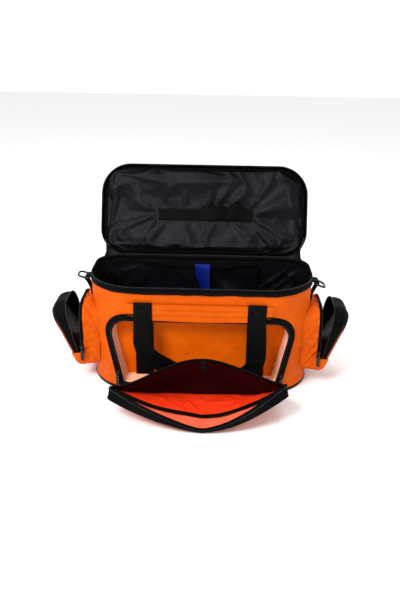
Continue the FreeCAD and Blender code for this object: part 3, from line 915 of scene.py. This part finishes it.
def handles():
    """Front loop as it has fallen to one side, rear loop hanging evenly."""
    x, top = STRAP_X, STRAP_TOP
    line = [(-x, 0.4, top), (-x, 1, 0.185), (-x, 1.6, 0.165), (-x - 1 * MM, 2.4, 0.140),
            (-x - 1 * MM, 3, 0.118), (-x + 7 * MM, 3.4, 0.096), (-x + 24 * MM, 3.6, 0.080),
            (-0.070, 3.6, 0.067), (-0.040, 3.4, 0.050), (-0.006, 3, 0.040), (0.030, 3, 0.036),
            (0.060, 3, 0.037), (0.088, 3.2, 0.046), (0.109, 3.4, 0.062), (0.118, 3, 0.086),
            (0.119, 2.4, 0.118), (x, 1.6, 0.165), (x, 1, 0.185), (x, 0.4, top)]
    lie = [(1, 0, 0)] * 5 + [(0.93, 0, 0.36), (0.62, 0, 0.78), (0.5, 0, 0.86), (0.45, 0.05, 0.9),
                             (0.25, 0.05, 0.96), (0, 0.05, 1), (-0.15, 0.05, 0.98),
                             (-0.42, 0, 0.90), (-0.74, 0, 0.67), (-0.97, 0, 0.22)]
    handle("front", -1, line, lie + [(-1, 0, 0)] * 4)
    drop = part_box("rear_handle_loop")[0].z + WEBBING / 2
    line = [(-x, -0.6, top), (-x, 0, 0.185), (-x, 0.8, 0.165), (-x, 2, 0.125),
            (-x + 4 * MM, 3, 0.100), (-x + 20 * MM, 4, 0.078), (-0.055, 5, drop + 6 * MM)]
    line += [(0, 5, drop)] + [(-a, out, z) for a, out, z in line[::-1]]
    lie = [(1, 0, 0)] * 4 + [(0.92, 0, 0.4), (0.6, 0, 0.8), (0.3, 0, 0.95)]
    lie += [(0, 0, 1)] + [(-a, b, c) for a, b, c in lie[::-1]]
    handle("rear", 1, line, lie)


# ---- Lid ----
def to_open(points):
    """Turns points of the closed lid to where it stands open."""
    c, s = math.cos(LID_OPEN), math.sin(LID_OPEN)
    y, z = points[..., 1] - LID_HINGE.y, points[..., 2] - LID_HINGE.z
    return xyz(points[..., 0], LID_HINGE.y + y * c + z * s, LID_HINGE.z - y * s + z * c)


def lid_ring(inset, z):
    """Outline of the closed lid at height z, drawn in by inset."""
    half_u, half_v = HALF_W - inset, HALF_D - inset
    front, rear = LID_R - inset, REAR_R - inset
    flat = rounded([(-half_u, -half_v, front), (half_u, -half_v, front),
                    (half_u, half_v, rear), (-half_u, half_v, rear)])
    return xyz(flat[:, 0], flat[:, 1], z)


def lid_rings(levels):
    """Rings (inset in millimetres, z) with one count of points."""
    rings = [lid_ring(inset * MM, z) for inset, z in levels]
    return [recount(ring, len(rings[0])) for ring in rings]


def lid_cover():
    """Padded outside of the lid."""
    x, y = plan_grid(2 * MM, 170, 90, LID_R)
    edge = (1 - np.abs(x / HALF_W) ** 8) * (1 - np.abs(y / HALF_D) ** 6)
    z = LID_HIGH - 0.2 * MM + 5.5 * MM * edge
    z = z + edge * (1.6 * MM * noise(x / 0.10, y / 0.09, 101)
                    + 1.3 * MM * creases(x / 0.07 + y / 0.2, y / 0.08, 102))
    orange(grid("lid_cover_cloth", to_open(xyz(x, y, z)), 1.8 * MM), "lid", ["lid_panel"])


def lid_side():
    """Side band of the lid with its zip, and the binding and seam tape round the lining."""
    low = RIM_TOP + 0.8 * MM
    rings = lid_rings([(0.3, low), (-0.4, low + 1.5 * MM), (0.0, low + 6 * MM),
                       (-0.9, low + 9 * MM), (-0.6, low + 13 * MM), (0.4, LID_HIGH - 0.6 * MM)])
    s = np.arange(len(rings[0])) * OUTLINE_STEP
    for k, ring in enumerate(rings[1:-1], 1):
        ring[:, 2] += 0.6 * MM * noise(s / 0.025, s * 0 + k * 0.4, 111)
    tape(grid("lid_side_cloth", to_open(np.stack(rings, 1)), 1.6 * MM, closed=True), "lid",
         ["lid_gusset", "lid_zip_tape"])
    inner = lid_ring(2.4 * MM, low + 1.0 * MM)
    coil_path = open_part(inner, inner[:, 1] < HALF_D - 12 * MM)
    teeth(zip_coil("lid_zip_coil", to_open(coil_path),
                   (0, math.sin(LID_OPEN), math.cos(LID_OPEN))), "lid")
    tape(piping("lid_inner_binding", to_open(lid_ring(4.5 * MM, LID_HIGH - 4.2 * MM)), 1.7 * MM,
                up=(0.3, 1, 0.4)), "lid")
    rings = lid_rings([(inset, LID_HIGH - down * MM) for inset, down in
                       ((3.0, 4.6), (5.0, 6.6), (8.0, 6.8), (10.5, 6.2), (11.0, 4.8))])
    tape(grid("lid_seam_tape", to_open(np.stack(rings, 1)), 0.8 * MM, closed=True), "lid")


def lid_lining():
    """Slack lining of the lid, gathered to the elastic band across its middle."""
    x, y = plan_grid(5.5 * MM, 190, 96, LID_R)
    z0 = LID_HIGH - 4.6 * MM
    beyond, beside = np.abs(x - BAND_X) - BAND_HALF, np.abs(y - BAND_Y)
    band = (beyond < 0) & (beside < 12.5 * MM)
    rim = np.ones(x.shape, bool)
    rim[1:-1, 1:-1] = False
    near = smooth(0, 0.020, HALF_W - 5 * MM - np.abs(x))
    near = near * smooth(0, 0.020, HALF_D - 5 * MM - np.abs(y))
    near = near * smooth(0, 30 * MM, np.hypot(np.maximum(beyond, 0),
                                              np.maximum(beside - 12 * MM, 0)))
    # Long folds, in millimetres: from (x, y) to (x, y), width and height.
    lines = [
        (110, 8, 215, -22, 11, 6), (110, 4, 200, -62, 9, 3), (112, 18, 205, 66, 10, 6),
        (104, 22, 165, 86, 9, 5), (60, 22, 120, 74, 9, 4.5), (30, 22, -2, 70, 8, 4.5),
        (-106, 12, -215, 50, 10, 7), (-108, 20, -160, 86, 10, 4.5), (-85, 22, -135, 78, 9, 4),
        (-108, 4, -168, -20, 12, 5), (-45, -2, 20, -14, 12, 6.5), (26, -6, 70, -80, 11, 5.5),
        (60, -2, 96, -52, 10, 5), (104, -2, 160, -80, 10, 5), (-185, -78, -60, -60, 7, 6.5),
        (-60, -60, 95, -66, 7, 6), (-212, 30, -200, -60, 9, 4), (210, -66, 165, -84, 8, 5),
        (195, -40, 214, 60, 9, 3.5), (-205, 82, -60, 86, 7, 4), (-40, 86, 160, 84, 6, 3)]
    lift = folds(x, y, [np.array(line) * MM for line in lines])
    lift = lift + 0.6 * MM * creases(x / 0.06, y / 0.05, 121)
    lift = lift + 1.6 * MM * noise(x / 0.12, y / 0.07, 122)
    # Broad slack: over the upper left, over the upper right and along the hinge side.
    left = 1 - smooth(-0.02, 0.07, x)
    lift = lift + 12.0 * MM * left * (1 - smooth(-0.075, -0.010, y))
    lift = lift + 6.0 * MM * (1 - left) * smooth(-0.095, -0.03, y) * (1 - smooth(-0.01, 0.02, y))
    lift = lift + 10.0 * MM * smooth(0.022, 0.076, y)
    most = 14.0 * MM
    z = z0 - most * np.tanh(lift * near / most)
    lining = grid("lid_lining_cloth", to_open(xyz(x, y, z)), flip=True)
    crumple(lining, (band | rim).ravel())
    lining.modifiers.new("thickness", "SOLIDIFY").thickness = 0.7 * MM
    black_cloth(lining, "lid", ["lid_lining"])
    along = np.linspace(-0.105, 0.110, 90)
    hump = 15 * MM * np.exp(-((along - 0.034) / 0.017) ** 2)
    hump = hump + 17 * MM * np.exp(-((along - 0.075) / 0.017) ** 2)
    path = xyz(along, BAND_Y - hump * 0.42, z0 - 2.2 * MM - hump * 0.6)
    across = unit(np.array([0, -math.cos(LID_OPEN), math.sin(LID_OPEN)])
                  + hump[:, None] / (17 * MM) * [0, -0.25, 0.1])
    strap(webbing("lid_band_webbing", to_open(path), across, 27 * MM + hump * 0.5, 1.6 * MM),
          "lid", ["lid_inner_band"])


def lid_hinge():
    """Cloth that joins the rear rim to the lid, with a gusset at each rear corner."""
    rear = PLAN[PLAN[:, 1] > HALF_D - 27 * MM]
    x, y, nx, ny = rear[np.argsort(-rear[:, 0])][::6].T
    rim = xyz(x - nx * 1.4 * MM, y - ny * 1.4 * MM, RIM_TOP - 3 * MM)
    edge = to_open(xyz(rim[:, 0], rim[:, 1], RIM_TOP + 5 * MM))
    gap = np.linalg.norm(edge - rim, axis=1)
    rows = []
    for k in np.linspace(0, 1, 12):
        row = rim + (edge - rim) * k
        sag = np.minimum(gap * 0.16, 6 * MM) * arch(k)
        sag = sag * (1 + 0.5 * noise(row[:, 0] / 0.03, 0 * x + k, 192))
        row = row - xyz(nx, ny, 0) * sag[:, None]
        row[:, 0] += 1.2 * MM * arch(k) * noise(row[:, 1] / 0.006, row[:, 2] / 0.01, 191)
        rows.append(row)
    strip = black_cloth(grid("lid_hinge_cloth", np.stack(rows, 1), 0.9 * MM), None,
                        ["lid_hinge_strip"])
    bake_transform(strip)


# ---- Front flap ----
def flap(u, v, above):
    """Point of the cupped flap: u -1 to 1 across, v 0 at the hinge to 1 at the far edge."""
    half = FLAP_HALF_HINGE + (FLAP_HALF_FAR - FLAP_HALF_HINGE) * v
    reach = (FLAP_REACH - FLAP_SWEEP * u * u) * v
    lift = FLAP_LIFT * v * (u * u) ** 0.65
    lift = lift + 14 * MM * v * smooth(0.2, 1.0, u) - 3 * MM * v * smooth(0.3, 1.0, -u)
    skew = 11 * MM * v * (1 - u * u)
    return np.stack(np.broadcast_arrays(half * u + skew, FLAP_HINGE.y - 1 * MM - reach,
                                        above + lift), -1)


def organiser(u, v, out=0.0):
    """The panel that stands up behind the mouth, v 0 at its seam to 1 at its arched edge."""
    seam = flap(0.93 * u, 0.10 + 0.60 * u ** 4, 6.0 * MM)
    arch = 0.056 + 0.056 * np.cos(math.pi * np.clip(u - 0.06, -1, 1) / 2) ** 1.6
    arch = arch + 0.012 * smooth(0.3, 1, u)
    top = np.stack(np.broadcast_arrays(0.172 * u, -0.165 - 0.025 * u * u, arch), -1)
    belly = 0.014 * np.sin(math.pi * v) * (1 - u * u)
    wave = 2.5 * MM * noise(u * 3.1, v * 2.0, 131) * np.sin(math.pi * np.clip(v, 0, 1))
    point = seam + (top - seam) * v[..., None]
    point[..., 1] += belly + wave + out
    return point


def on_front_flap(obj, material, replaces=()):
    """Piece of the front flap, riding on it with a mesh of its own."""
    finish_piece(obj, "front_flap", material, replaces)
    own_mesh(obj)
    return obj


def make_front_flap():
    """Cupped flap: its panel, its lining and the slip pocket with its trim."""
    u, v = spread(-0.965, 0.965, 0, 1, 150, 70)
    points = flap(u, v, 0.7 * MM)
    points[..., 2] += 1.2 * MM * creases(u * 3, v * 2.5, 141) * arch(v) * (v > 0.1)
    on_front_flap(grid("front_flap_cloth", points, 1.8 * MM, offset=1.0, flip=True),
                  ORANGE, ["front_flap_panel"])

    u, v = spread(-0.95, 0.95, 0.08, 0.985, 150, 70)
    points = flap(u, v, 3.4 * MM)
    points[..., 2] += 1.6 * MM * creases(u * 4 + v, v * 3, 142) * arch(v)
    lining = on_front_flap(grid("front_flap_lining_cloth", points, 0.7 * MM, flip=True,
                                offset=1.0), SALMON_RED, ["front_flap_lining"])

    u, v = spread(-0.93, 0.93, 0, 1, 150, 60)
    edge = 0.70 + 0.20 * np.abs(u) ** 1.6 + 0.015 * np.sin(u * 9)
    points = flap(u, 0.09 + v * (edge - 0.09), 5.2 * MM)
    ridges = 3.4 * MM * creases(u * 3.2 - v * 1.5, v * 2.2, 143)
    ridges = ridges + 2 * MM * noise(u * 5, v * 3, 144)
    points[..., 2] += arch(v) * (1 - np.abs(u) ** 4) * ridges + 2.0 * MM * v
    inner = on_front_flap(grid("front_flap_slip_pocket_cloth", points, 0.7 * MM, flip=True,
                               offset=1.0), RED, ["front_flap_inner_pocket"])
    on_front_flap(webbing("front_flap_slip_pocket_trim", points[:, -1] + [0, 0, 1.6 * MM],
                          (0, 1, 0.25), 8.5 * MM, 1.8 * MM), TAPE)
    front_flap_binding()


def front_flap_binding():
    """Binding and coil round the flap's three free edges; the binding hangs down at the ends."""
    far = np.linspace(-1, 1, 120)
    up = np.linspace(0.05, 1, 40)
    rim = flap(far, 1 + 0 * far, 4.0 * MM) - [0, 1.5 * MM, 0]
    left = flap(-1 + 0 * up, up, 4.0 * MM) - [1.5 * MM, 0, 0]
    right = flap(1 + 0 * up, up[::-1], 4.0 * MM) + [1.5 * MM, 0, 0]
    share = np.r_[up[:-1] ** 3, np.abs(far), up[::-1][1:] ** 3]
    path = resample(np.column_stack([np.vstack([left[:-1], rim, right[1:]]), share * MM]), 3 * MM)
    path = np.stack([np.convolve(np.pad(column, 3, "edge"), np.ones(7) / 7, "valid")
                     for column in path.T], 1)
    soft, lean = path[:, :3] * [0.965, 1, 1], path[:, 3] / MM
    from_middle = soft - [0, FLAP_HINGE.y - 0.06, 0]
    out = unit(from_middle * [1, 1, 0])
    across = unit(unit(from_middle * [0.05, 1, 0]) + xyz(0, 0, 0.15 - 2.2 * lean ** 1.4))
    wide = (12 + 12 * lean ** 1.2) * MM
    middle = soft + across * (wide / 2 - (8.5 - 4.5 * lean) * MM)[:, None]
    on_front_flap(webbing("front_flap_binding_tape", middle, across, wide, 3.8 * MM),
                  TAPE, ["front_flap_binding"])
    on_front_flap(zip_coil("front_flap_zip_coil", soft + out * 2.4 * MM + [0, 0, 2.0 * MM], out,
                           reach=2.6 * MM, radius=0.55 * MM), COIL)


def make_organiser():
    """The organiser's two cloths with its band, zip and pull tab."""
    u, v = spread(-0.985, 0.985, 0, 1, 140, 60)
    back = on_front_flap(grid("organiser_back_cloth", organiser(u, v, 1.4 * MM), 1.0 * MM),
                         TAPE, ["front_flap_organiser"])
    points = organiser(u, v, -0.6 * MM)
    points[..., 1] -= 1.6 * MM * creases(u * 5, v * 2, 151) * arch(v)
    # Its face is painted near black and red: painted shade with painted red bounce light.
    face = on_front_flap(grid("organiser_face_cloth", points, 0.6 * MM),
                         BLACK_PAINTED_RED_BOUNCE)
    u = np.linspace(-1.0, 1.0, 110)
    top, lower = organiser(u, 1 + 0 * u), organiser(u, 0.93 + 0 * u)
    on_front_flap(webbing("organiser_top_band", (top + lower) / 2 + [0, 0, 1 * MM], top - lower,
                          11 * MM, 3.2 * MM), TAPE)
    on_front_flap(zip_coil("organiser_zip_coil", top + [0, -1.6 * MM, 3.0 * MM], (0, -1, 0.6),
                           reach=2.2 * MM, radius=0.5 * MM), COIL)
    low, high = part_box("front_flap_tab")
    x = (low.x + high.x) / 2
    path = spline([(x, -0.1665, high.z + 3 * MM), (x, low.y, high.z - 3 * MM),
                   (x + 0.6 * MM, low.y - 1.2 * MM, 0.094), (x + 0.5 * MM, low.y + 1 * MM, low.z)],
                  8)
    on_front_flap(webbing("organiser_tab", path, (1, 0, 0), high.x - low.x, 1.8 * MM),
                  STRAP, ["front_flap_tab"])


# ---- End pockets ----
def mirrored(points, side):
    """Points made for the right-hand side, moved to the side asked for."""
    return points * [SIGN[side], 1, 1]


def turn_out(points, side):
    """Turns points of the closed right-hand end flap to where that side's flap stands open."""
    c, s = math.cos(END_OPEN[side]), math.sin(END_OPEN[side])
    x, z = points[..., 0] - END_HINGE.x, points[..., 2] - END_HINGE.z
    return xyz(END_HINGE.x + x * c + z * s, points[..., 1], END_HINGE.z - x * s + z * c)


def on_end_flap(points, side):
    return mirrored(turn_out(points, side), side)


def pocket_ring(x, away):
    """Ring round an end pocket at x, standing out from its edge by away."""
    yz = POCKET_EDGE + POCKET_OUT * (away + 0 * POCKET_GONE)[:, None]
    return xyz(x, yz[:, 0], yz[:, 1])


def end_depth(z):
    """Depth of the end flap's wedge at height z."""
    return END_FOOT + (z - POCKET_LOW) * math.tan(WEDGE)


def pocket_gusset(side):
    """Crumpled wall of an end pocket, with its seam, zip tape and coil."""
    s, rings = POCKET_GONE, []
    wall = half_width(POCKET_EDGE[:, 0], HALF_W, HALF_D,
                      np.where(POCKET_EDGE[:, 0] < 0, HALF_D, REAR_R))
    for d in np.linspace(0, 1, 20):
        fold = 5.4 * MM * creases(s / 0.034 + d * 1.5, d * 1.2 + s / 0.14, 161)
        fold = fold + 2.6 * MM * creases(s / 0.017 - d * 1.6, d * 1.4 + s / 0.05, 163)
        fold = fold + 2.0 * MM * noise(s / 0.022, s * 0 + d * 2.4, 162)
        slack = max(arch(d), 0) ** 0.7
        rings.append(pocket_ring(wall - 1 * MM + (POCKET_X - wall + 1 * MM) * d,
                                 slack * (fold - 3.0 * MM)))
    orange(grid(side + "_pocket_gusset_cloth", mirrored(np.stack(rings, 1), side), 1.4 * MM,
                closed=True, flip=side == "left"), replaces=[side + "_pocket_gusset"])
    seam = rings[0] + np.column_stack([2.5 * MM + 0 * s, POCKET_OUT * 1.0 * MM])
    orange_thread(stitches(side + "_pocket_seam_stitches", [mirrored(looped(seam), side)]))
    section = ((-6.0, 0.8), (-5.4, 2.4), (-1.4, 2.6), (-0.2, 1.6), (0.0, -0.6))
    rings = [pocket_ring(POCKET_X + x * MM, away * MM) for x, away in section]
    tape(grid(side + "_pocket_zip_tape_cloth", mirrored(np.stack(rings, 1), side), 1.0 * MM,
              closed=True, flip=side == "left"), replaces=[side + "_pocket_zip_tape"])
    path = xyz(POCKET_X + 0.2 * MM, POCKET_ZIP[:, 0], POCKET_ZIP[:, 1])
    teeth(zip_coil(side + "_pocket_zip_coil", mirrored(path, side), (1, 0, 0), reach=2.4 * MM,
                   radius=0.55 * MM))


def end_flap(side):
    """Wedge-shaped flap of one end pocket: side strip, outer panel, lining, piping and coil."""
    body = side + "_flap"
    round_r = 3 * MM + 11 * MM * smooth(POCKET_LOW + 20 * MM, POCKET_TOP, POCKET_EDGE[:, 1])
    reach = (end_depth(POCKET_EDGE[:, 1]) - round_r).clip(1 * MM)
    rings = []
    for d in (0.0, 0.04, 0.3, 0.6, 1.0):
        soft = 1.4 * MM * noise(POCKET_GONE / 0.035, POCKET_GONE * 0 + d * 2, 171) * arch(d)
        rings.append(pocket_ring(END_X + reach * d, soft))
    for a in np.radians([22, 45, 68, 90]):
        rings.append(pocket_ring(END_X + reach + round_r * math.sin(a),
                                 -round_r * (1 - math.cos(a))))
    tape(grid(side + "_flap_gusset_cloth", on_end_flap(np.stack(rings, 1), side), 1.3 * MM,
              closed=True, flip=side == "left"), body, [side + "_flap_gusset"])

    half_v = (POCKET_TOP - POCKET_LOW) / 2
    u, v = spread(-1, 1, -0.5, 0.5, 70, 84)
    v = np.sin(v * math.pi)
    half = half_width(v * half_v, POCKET_HALF, half_v,
                      np.where(v > 0, POCKET_R_TOP, POCKET_R_LOW))
    y = u * half * (1 - 0.13 * smooth(-0.6, 1.0, v))
    z = POCKET_MID + half_v * v * (1 - 0.13 * (v > 0) * v)
    edge = (1 - np.abs(u) ** 6) * (1 - np.abs(v) ** 6)
    x = END_X + end_depth(z)
    puff = edge * (2.0 * MM + 1.4 * MM * noise(y / 0.05, z / 0.05, 172)
                   + 1.6 * MM * creases(y / 0.05, z / 0.06, 173))
    orange(grid(side + "_flap_cloth", on_end_flap(xyz(x + puff, y, z), side), 1.6 * MM,
                flip=side == "left"), body, [side + "_flap_panel"])
    slack = edge * (2.5 * MM * creases(y / 0.045 + z / 0.09, z / 0.06, 174) + 1.0 * MM)
    inner = on_end_flap(xyz(x - 2.2 * MM - slack, y * 0.975, z), side)
    lining = black_cloth(grid(side + "_flap_lining_cloth", inner, 0.7 * MM,
                              flip=side == "right"), body, [side + "_flap_lining"])

    ring = rings[-1] + np.column_stack([0.6 * MM + 0 * POCKET_GONE, POCKET_OUT * 0.6 * MM])
    tape(piping(side + "_flap_piping", on_end_flap(ring, side), 2.2 * MM, up=(1, 0.05, 0.1)),
         body)
    path = xyz(END_X - 0.2 * MM, POCKET_ZIP[:, 0], POCKET_ZIP[:, 1])
    along_wedge = (math.cos(END_OPEN[side]) * SIGN[side], 0, -math.sin(END_OPEN[side]))
    teeth(zip_coil(side + "_flap_zip_coil", on_end_flap(path, side), along_wedge,
                   reach=2.2 * MM, radius=0.5 * MM), body)


def pocket_fold(side):
    """Orange cloth across the foot of the end flap, from the pocket round to the flap's face."""
    keep = POCKET_EDGE[:, 1] < POCKET_LOW + 34 * MM
    order = np.roll(np.arange(len(keep)), -int(np.argmax(~keep)))
    order = order[keep[order]]
    outline, out = POCKET_EDGE[order], POCKET_OUT[order]
    reach = end_depth(outline[:, 1])
    s = np.arange(len(outline)) * OUTLINE_STEP
    bite = 1.4 * noise(s / 0.016, s * 0 + 0.4, 181)

    def row(x, away):
        yz = outline + out * ((away + 0 * s) * MM)[:, None]
        return xyz(x, yz[:, 0], yz[:, 1])

    rows = [row(POCKET_X - 14 * MM, 0.6), row(POCKET_X - 9 * MM, 2.4 + bite),
            row(POCKET_X - 3 * MM, 4.6 + bite * 0.5), row(POCKET_X + 0.5 * MM, 3.8)]
    rows += [turn_out(points, side) for points in
             (row(END_X + 1.5 * MM, 3.6), row(END_X + reach * 0.6, 3.4 - bite * 0.6),
              row(END_X + reach, 2.6), row(END_X + reach + 3.2 * MM, 0.4))]
    at = np.linspace(0, len(rows) - 1, 22)
    fine = np.stack([columns_at(at, np.arange(len(rows)), line) for line in np.stack(rows, 1)])
    fold = orange(grid(side + "_pocket_fold_cloth", mirrored(fine, side), 1.2 * MM,
                       flip=side == "right"), None)
    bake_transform(fold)


# ---- Rings, tabs and small parts ----
def ring_tab(side):
    """Webbing that stands out from under the rim, round the ring's bar and back down."""
    low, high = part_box(side + "_dring_tab")
    pivot = Vector(JOINTS[side + "_ring_hinge"]["pos_m"])
    x, r = abs(pivot.x) + 4.5 * MM, 4.3 * MM
    path = [(HALF_W + 1.2 * MM, low.z + 3 * MM), (HALF_W + 2.6 * MM, low.z + 13 * MM),
            (x - 1 * MM, pivot.z - 9 * MM)]
    path += [(x + r * math.cos(a), pivot.z + r * math.sin(a))
             for a in np.radians(np.linspace(-35, 95, 8))]
    path += [(abs(pivot.x) - 1 * MM, pivot.z + 5 * MM), (HALF_W + 1.2 * MM, pivot.z + 3 * MM)]
    line = spline([(SIGN[side] * px, 0, pz) for px, pz in path], 4)
    strap(webbing(side + "_ring_tab_webbing", line, (0, 1, 0), high.y - low.y + 3 * MM, 1.8 * MM),
          replaces=[side + "_dring_tab"])


def small_parts():
    """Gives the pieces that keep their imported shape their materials."""
    looks = {"base_panel": BASE, "base_piping": TAPE, "base_stiffener": BOARD,
             "lid_piping": TAPE, "left_dring": RING, "right_dring": RING}
    for name, obj in frame["nodes"].items():
        if name.endswith("_slider"):
            looks[name] = SLIDER
        if name.endswith("_pull"):
            looks[name] = RING
        if name in looks:
            obj.data.materials.clear()
            obj.data.materials.append(looks[name])


# ---- Stage ----
def make_floor():
    """White floor of the studio."""
    floor = new_mesh("floor", [(-6, -6, 0), (6, -6, 0), (6, 6, 0), (-6, 6, 0)], [(0, 1, 2, 3)])
    material, tree, shader = new_material("pale_floor")
    put(tree, shader, Base_Color=(0.93, 0.93, 0.93, 1), Roughness=0.9)
    floor.data.materials.append(material)


def make_light():
    """White studio, darker low down in front, with three soft lamps."""
    world = bpy.context.scene.world or bpy.data.worlds.new("studio")
    bpy.context.scene.world = world
    world.use_nodes = True
    tree = world.node_tree
    toward = made(tree, "SeparateXYZ", Vector=made(tree, "TexCoord").outputs["Generated"])
    front = ranged(tree, toward.outputs["Y"], -0.15, -0.70, 0, 1)
    level = ranged(tree, toward.outputs["Z"], 0.85, 0.45, 0, 1)
    dim = calculated(tree, "MULTIPLY", front, level)
    put(tree, tree.nodes["Background"], Color=(1, 1, 1, 1),
        Strength=ranged(tree, dim, 0, 1, 1.05, 0.28))
    for name, place, size, power in (("key", (-1.1, -1.5, 1.9), 0.9, 58),
                                     ("fill", (1.5, -1.3, 1.0), 1.2, 7),
                                     ("top", (0.25, 0.5, 2.2), 0.9, 12)):
        data = bpy.data.lights.new(name, "AREA")
        data.size, data.energy = size, power
        light = bpy.data.objects.new(name, data)
        light.location = place
        aim = Vector((0, 0, 0.12)) - Vector(place)
        light.rotation_euler = aim.to_track_quat("-Z", "Y").to_euler()
        bpy.context.scene.collection.objects.link(light)


def make_camera():
    """Camera in front of the bag, a little above it and to its right."""
    distance, high, aside, roll = 1.440, math.radians(23.0), math.radians(1.5), math.radians(0.8)
    target = Vector((-2.8 * MM, 0, 171 * MM))
    back = Vector((math.sin(aside) * math.cos(high), -math.cos(aside) * math.cos(high),
                   math.sin(high)))
    right = (-back).cross(Vector((0, 0, 1))).normalized()
    up = right.cross(-back)
    level = Matrix((right, up, back)).transposed()
    data = bpy.data.cameras.new("camera")
    data.lens = 39.6
    camera = bpy.data.objects.new("camera", data)
    turned = level @ Matrix.Rotation(roll, 3, "Z")
    camera.matrix_world = Matrix.Translation(target + back * distance) @ turned.to_4x4()
    bpy.context.scene.collection.objects.link(camera)
    bpy.context.scene.camera = camera
    bpy.context.scene.view_settings.view_transform = "Standard"


make_camera()
make_floor()
make_light()
for make in (make_shell, make_rim, lining_wall, lining_floor, rear_slip_pocket, blue_strap,
             front_pocket_wall, front_pocket_gusset, front_zip_tape, storm_flap, load_webbing,
             handles, lid_cover, lid_side, lid_lining, lid_hinge, make_front_flap,
             make_organiser):
    make()
for side_name in SIGN:
    for make in (end_slip_pocket, pocket_gusset, end_flap, pocket_fold, ring_tab):
        make(side_name)
small_parts()
